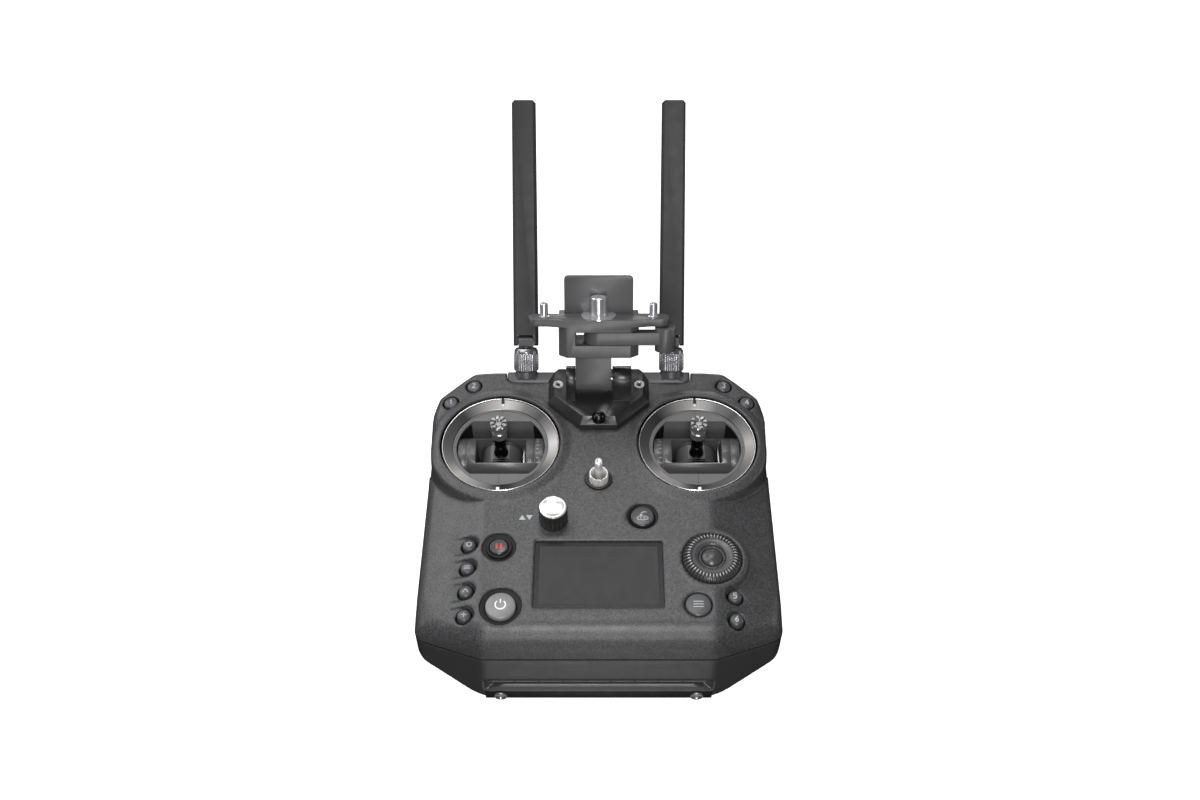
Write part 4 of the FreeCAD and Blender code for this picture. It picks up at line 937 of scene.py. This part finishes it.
def stick_cap(name, side):
    """The bright end of a stick: two knurled bands, a waist and a crown with eight teeth."""
    where = at_stick(side, 6.6)

    def knurl(radius, depth):
        return lambda angle: radius - depth * (0.5 + 0.5 * math.cos(32 * angle))

    def tooth(low, high):
        return lambda angle: high if (angle * 8 / (2 * math.pi)) % 1 < 0.58 else low

    loops = [(1.6, 0), (3.6, 0), (knurl(4.2, 0.1), 0.5), (knurl(4.2, 0.25), 0.9), (knurl(4.2, 0.25), 4.3),
             (knurl(4.2, 0.1), 4.7), (3.5, 5.2), (3.4, 6.1), (4.2, 6.9), (knurl(4.7, 0.05), 7.4),
             (knurl(4.7, 0.22), 7.7), (knurl(4.7, 0.22), 9.6), (4.7, 9.9), (4.7, 10.4),
             (4.7, tooth(10.6, 12.1)), (4.4, tooth(10.7, 12.5)), (3.2, tooth(10.9, 12.6)),
             (2.3, tooth(10.8, 12.3)), (2.0, tooth(10.7, 11.4)), (1.8, 10.6), (1.6, 10.9), (0.05, 11.0)]
    turned(name + "_cap", loops, 192, [where], name + "_stick", "bright_metal", name + "_stick_cap",
           paint="cap_metal", sharp=30)


def stick_shaft(name, side):
    where = at_stick(side)
    loops = [(3.9, -8.6), (4.0, -8.3), (4.0, -7.6), (3.7, -7.2), (3.3, -4.2), (3.25, -3.4), (3.25, -1.2),
             (3.05, -1.0), (3.05, -0.7), (3.25, -0.5), (3.25, 6.4), (3.1, 6.6), (0.05, 6.6)]
    turned(name + "_shaft", loops, 64, [where], name + "_stick", "black_steel", name + "_stick")


# Rear, front and underside ---

def antenna_stand(side):
    """The frame of an antenna's socket and nut, which point up and back."""
    x, y, z = ANTENNA
    return stand((x * side, y, z), lean_x=ANTENNA_RISE - math.pi / 2)


def ribbed(radius, depth, count):
    """A radius with count narrow ribs, depth lower between them."""
    return lambda angle: radius - depth * (0.5 + 0.5 * math.cos(count * angle)) ** 2


def rear_trim():
    """The satin strip along the rear edge, with a round socket under each antenna nut."""
    solid = Solid(-13.0, 5.5, 0.5)
    x, y, z = solid.x, solid.y, solid.z
    outline = rounded_box(x, y - 146.5, 52.9, 17.4, 4.4)
    strip = overlap(round_max(overlap(outline, y - 138.0), z + 0.05, 1.6), -11.9 - z)
    for _, side in SIDES:
        across, along, above = x - ANTENNA[0] * side, y - ANTENNA[1], z - ANTENNA[2]
        up = along * math.cos(ANTENNA_RISE) + above * math.sin(ANTENNA_RISE)
        over = -along * math.sin(ANTENNA_RISE) + above * math.cos(ANTENNA_RISE)
        socket = round_max(np.hypot(across, over) - 6.1, overlap(up - 1.4, -3.0 - up), 0.4)
        strip = soft_min(strip, overlap(socket, y - 140.0, 128.0 - y), 1.2)
    solid.distance = strip
    finish_piece(solid.mesh("rear_strip", 0.1), "casing", "satin_plastic", "rear_trim")
    for name, side in SIDES:
        tube = [(2.3, -2), (3.0, -2), (3.0, 14), (2.3, 14)]
        turned(name + "_socket_core", tube, 48, [antenna_stand(side)], "casing", "satin_plastic",
               paint="black_steel", closed=True)


def antenna_nut(name, side):
    ribs = ribbed(7.15, 0.4, 30)
    loops = [(3.05, 1.6), (6.6, 1.6), (6.9, 1.9), (ribs, 2.5), (ribs, 11.2), (6.8, 11.8), (6.7, 12.2),
             (6.9, 12.6), (6.7, 13.4), (5.9, 14.6), (3.05, 14.7)]
    turned(name + "_nut", loops, 240, [antenna_stand(side)], name + "_antenna_nut", "bright_metal",
           name + "_antenna_nut", paint="nut_metal", closed=True)


def screws():
    """The holder's two socket screws and its ball-headed screw, with the hinge pin's ends."""
    def socket(size):
        return lambda angle: size / max(math.cos((angle + math.pi / 6) % (math.pi / 3) - math.pi / 6), 0.1)

    def at_screw(side):
        return stand((PLATE_SCREW[0] * side, PLATE_SCREW[1], 0))

    both = [at_screw(side) for _, side in SIDES]
    loops = [(2.9, 6.2), (2.95, 7.7), (2.8, 7.95), (1.6, 7.95), (socket(1.15), 7.7), (socket(1.1), 6.9),
             (0.05, 6.9)]
    turned("plate_screws", loops, 72, both, "casing", "screw_steel", paint="pale_steel")
    # A near-black disc on the floor of each hex socket: painted shade.
    well = [(1.0, 6.5), (1.0, 7.1), (0.05, 7.1)]
    turned("screw_socket_shade", well, 6, both, "casing", "screw_steel", paint="joint_and_shade_black")
    ball = [(3.4, 5.2), (3.4, 7.2), (3.2, 8.2), (2.6, 9.2), (1.7, 9.95), (socket(0.9), 10.2),
            (socket(0.8), 9.6), (0.05, 9.6)]
    turned("ball_screw", ball, 72, [stand((0, 97.5, 0))], "casing", "screw_steel", paint="black_steel")
    pin = [(1.95, -17.9), (2.0, -17.7), (2.0, 17.7), (1.95, 17.9)]
    turned("hinge_pin", pin, 48, [stand((0, 116.0, 18.7), lean_y=math.pi / 2)], "casing", "screw_steel",
           "bracket_fasteners")
    case = [(2.4, 2.2), (2.5, 1.0), (2.3, 0.6), (1.3, 0.5), (socket(1.0), 0.7), (socket(0.95), 1.6),
            (0.05, 1.6)]
    stands = [stand((x, y, BOTTOM_Z)) for x, y in SCREW_SPOTS]
    turned("case_screw_heads", case[::-1], 60, stands, "casing", "screw_steel", "case_screws",
           paint="black_steel")


def studs():
    loops = [(2.6, -3.0), (2.6, 0.1), (3.4, 0.2), (3.6, 0.5), (3.55, 1.0), (3.2, 1.3), (2.8, 1.3),
             (2.5, 0.9), (2.3, 0.4), (0.05, 0.35)]
    stands = [stand((51.8 * side, FRONT_Y, -59.2), lean_x=math.pi / 2) for _, side in SIDES]
    turned("studs", loops, 64, stands, "casing", "bright_metal", "strap_studs", paint="cap_metal")


def vent_bars():
    """The thin bar across the front recess, in lengths with small gaps and painted lighter as a highlight, and
    the near-black bar behind it as painted shade.
    """
    pitch = 12.6
    half = pitch / 2 - 0.2
    made = [bar("vent_bar", stand((step * pitch, FRONT_Y, 0)), (-half, 2.5, -50.1), (half, 4.9, -49.4), 0.12)
            for step in range(-4, 5)]
    # A near-black bar at the back of the recess: painted shade.
    block("vent_back_shade", stand((0, FRONT_Y, 0)), (-54.5, 4.1, -50.6), (54.5, 4.8, -43.6), 0, "casing",
          "lower_plastic", paint="joint_and_shade_black")
    # The bars are painted a lighter grey than the casing: a painted highlight.
    finish_piece(join("vent_bars", made), "casing", "lower_plastic", paint="bezel_grey_and_bar_highlight")


def front_foot_shade():
    """A near-black strip along the foot of the front wall: painted shade for the undercut there."""
    block("front_foot_shade", stand((0, FRONT_Y, 0)), (-60.0, -0.12, -62.9), (60.0, 2.0, -55.2), 0.5, "casing",
          "lower_plastic", paint="joint_and_shade_black")


def seam_line():
    """The fine dark joint that runs round the casing between its two shells."""
    inset = inset_corners(outline_corners(), CORNER_RADIUS)
    ring = []
    for index, centre in enumerate(inset):
        before, after = Vector(inset[index - 1]), Vector(inset[(index + 1) % len(inset)])
        here = Vector(centre)
        turns = [math.atan2(edge.y, edge.x) - math.pi / 2 for edge in (here - before, after - here)]
        turns[1] += 2 * math.pi * (turns[1] < turns[0])
        for step in range(7):
            angle = turns[0] + (turns[1] - turns[0]) * step / 6
            ring.append((here, Vector((math.cos(angle), math.sin(angle)))))
    inner, outer = CORNER_RADIUS - 0.6, CORNER_RADIUS - 0.02
    low_z, high_z = SEAM_Z - 0.25, SEAM_Z + 0.25
    section = ((inner, low_z), (outer, low_z), (outer, high_z), (inner, high_z))
    vertices = [spot(*(here + out * reach), z) for here, out in ring for reach, z in section]
    faces = []
    for k in range(len(ring)):
        low, high = 4 * k, 4 * ((k + 1) % len(ring))
        faces += [(low + e, high + e, high + (e + 1) % 4, low + (e + 1) % 4) for e in range(4)]
    finish_piece(add("seam_line", vertices, faces), "casing", "lower_plastic", paint="joint_and_shade_black")


def feet():
    loops = [(5.0, -62.0), (5.0, -64.2), (4.8, -64.7), (4.3, -65.0), (3.0, -65.0), (2.7, -64.7), (0.05, -64.7)]
    stands = [stand((55.0 * side, y, 0)) for _, side in SIDES for y in (-22.0, 118.0)]
    turned("feet", loops[::-1], 48, stands, "casing", "soft_rubber", "rubber_feet")


def rear_dial(name, side):
    ribs = ribbed(8.0, 0.5, 28)
    loops = [(1.5, -6), (1.5, -4), (7.3, -4), (ribs, -3.3), (ribs, 3.3), (7.3, 4), (1.5, 4), (1.5, 6)]
    where = stand((REAR_DIAL[0] * side, *REAR_DIAL[1:]), lean_y=math.pi / 2)
    turned(name + "_thumb_dial", loops, 224, [where], name + "_dial", "soft_rubber", name + "_dial")


def display():
    """The dark cover with its lighter picture area."""
    half_x, half_y, corner = SCREEN[0] / 2 - 0.1, SCREEN[1] / 2 - 0.1, 1.1
    outline = []
    for cx, cy, start in ((1, -1, 270), (1, 1, 0), (-1, 1, 90), (-1, -1, 180)):
        for step in range(5):
            angle = math.radians(start + step * 22.5)
            outline.append((cx * (half_x - corner) + corner * math.cos(angle),
                            cy * (half_y - corner) + corner * math.sin(angle)))
    vertices = [spot(x, y, z) for z in (-2.4, -1.6) for x, y in outline]
    count = len(outline)
    faces = [tuple(range(count))[::-1], tuple(range(count, 2 * count))]
    faces += [(k, (k + 1) % count, count + (k + 1) % count, count + k) for k in range(count)]
    glass = add("display_glass", vertices, faces, 30)
    finish_piece(glass, "casing", "dark_window", "display_window")
    area = [[(-30.6, -17.6), (30.6, -17.6), (30.6, 17.4), (-30.6, 17.4)]]
    lay_mark("display_picture", area, stand((0, 0, 0)), lambda x, y: -1.6, "picture_area", "casing",
             "dark_window")


def face_mark():
    """The printed sign left of the dial: one triangle up and one down."""
    sign = arrow_head((-1.9, 1.5), (0, 1), 3.0) + arrow_head((1.9, -1.5), (0, -1), 3.0)
    lay_mark("dial_sign", sign, stand((-38.6, 34.6, 0)), lambda x, y: 0.03, "light_mark", "casing",
             "grained_plastic")


# Studio ---

# Each softbox: its name, its place and size in metres, and its power.
SOFTBOXES = (
    ("centre", (0.0, 0.35, 1.15), (0.3, 0.3), 2.4), ("front", (0.0, -1.1, 0.5), (0.5, 0.5), 4.6),
    ("left_back", (-0.9, 0.8, 0.8), (0.7, 0.6), 5.2), ("left_top", (-0.6, 0.1, 1.1), (0.5, 0.9), 5.0),
    ("front_top", (0.0, -0.62, 1.0), (0.24, 0.4), 6.6), ("back", (0.0, 0.75, 1.0), (0.9, 0.6), 2.8),
    ("low_front", (0.0, -0.75, -0.75), (0.35, 0.35), 0.6), ("strip", (0.0, -1.15, -0.25), (0.35, 0.8), 1.2),
    ("left_side", (-1.4, 0.1, 0.25), (0.8, 0.5), 3.0), ("right_side", (1.4, 0.1, 0.25), (0.8, 0.5), 3.0),
    ("rear_side", (0.0, 1.4, 0.2), (0.9, 0.4), 4.0))


def softbox(name, place, size, power):
    """A rectangular light that faces the middle of the part."""
    light = bpy.data.lights.new(name, "AREA")
    light.shape = "RECTANGLE"
    light.size, light.size_y = size
    light.energy = power
    lamp = bpy.data.objects.new(name, light)
    lamp.location = place
    lamp.rotation_euler = (Vector((0, 0, 0.05)) - Vector(place)).to_track_quat("-Z", "Y").to_euler()
    bpy.context.scene.collection.objects.link(lamp)


def studio():
    world = bpy.data.worlds.new("studio")
    world.use_nodes = True
    world.node_tree.nodes["Background"].inputs["Color"].default_value = (1, 1, 1, 1)
    bpy.context.scene.world = world
    world.cycles_visibility.diffuse = False
    world.cycles_visibility.glossy = False
    for box in SOFTBOXES:
        softbox(*box)
    floor_mesh = bpy.data.meshes.new("floor")
    reach = 6.0
    corners = [(-reach, -reach, 0), (reach, -reach, 0), (reach, reach, 0), (-reach, reach, 0)]
    floor_mesh.from_pydata(corners, [], [(0, 1, 2, 3)])
    floor = bpy.data.objects.new("floor", floor_mesh)
    paint = plain("floor_paint", (0.5, 0.5, 0.5), 0.9, specular=0.0)
    shader = paint.node_tree.nodes["Principled BSDF"]
    shader.inputs["Emission Color"].default_value = (1, 1, 1, 1)
    shader.inputs["Emission Strength"].default_value = 0.98
    floor_mesh.materials.append(paint)
    floor.visible_diffuse = False
    floor.visible_glossy = False
    floor.visible_shadow = False
    bpy.context.scene.collection.objects.link(floor)


def camera():
    data = bpy.data.cameras.new("camera")
    data.sensor_width = 36
    data.lens = 39
    data.clip_start = 0.01
    eye = bpy.data.objects.new("camera", data)
    eye.location = (0.0007, -0.4587, 0.6332)
    eye.rotation_euler = (math.radians(40), 0, 0)
    bpy.context.scene.collection.objects.link(eye)
    bpy.context.scene.camera = eye


# The whole part ---

bpy.context.scene.view_settings.view_transform = "Standard"
paint_nodes()
upper = finish_piece(top_shell(), "casing", "grained_plastic", "top_shell")
lower = finish_piece(bottom_shell(), "casing", "lower_plastic", "bottom_shell")
for soft_node in ("bracket_base", "bracket_head", "bracket_arm", "lock_lever", "back_plate",
                  "left_antenna", "right_antenna", "left_yoke", "right_yoke", "battery_pack", "battery_latch"):
    soften(soft_node)
buttons()
trim_rings()
dial()
wheel()
toggle()
display()
face_mark()
rings = [stick_ring(name, side) for name, side in SIDES]
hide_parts("stick_rings")
for name, side in SIDES:
    bezel(name, side)
    drum_details(name, side)
    stick_cap(name, side)
    stick_shaft(name, side)
    antenna_nut(name, side)
    rear_dial(name, side)
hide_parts("gimbal_bezels")
rear_trim()
vent_bars()
front_foot_shade()
seam_line()
screws()
studs()
feet()
studio()
camera()
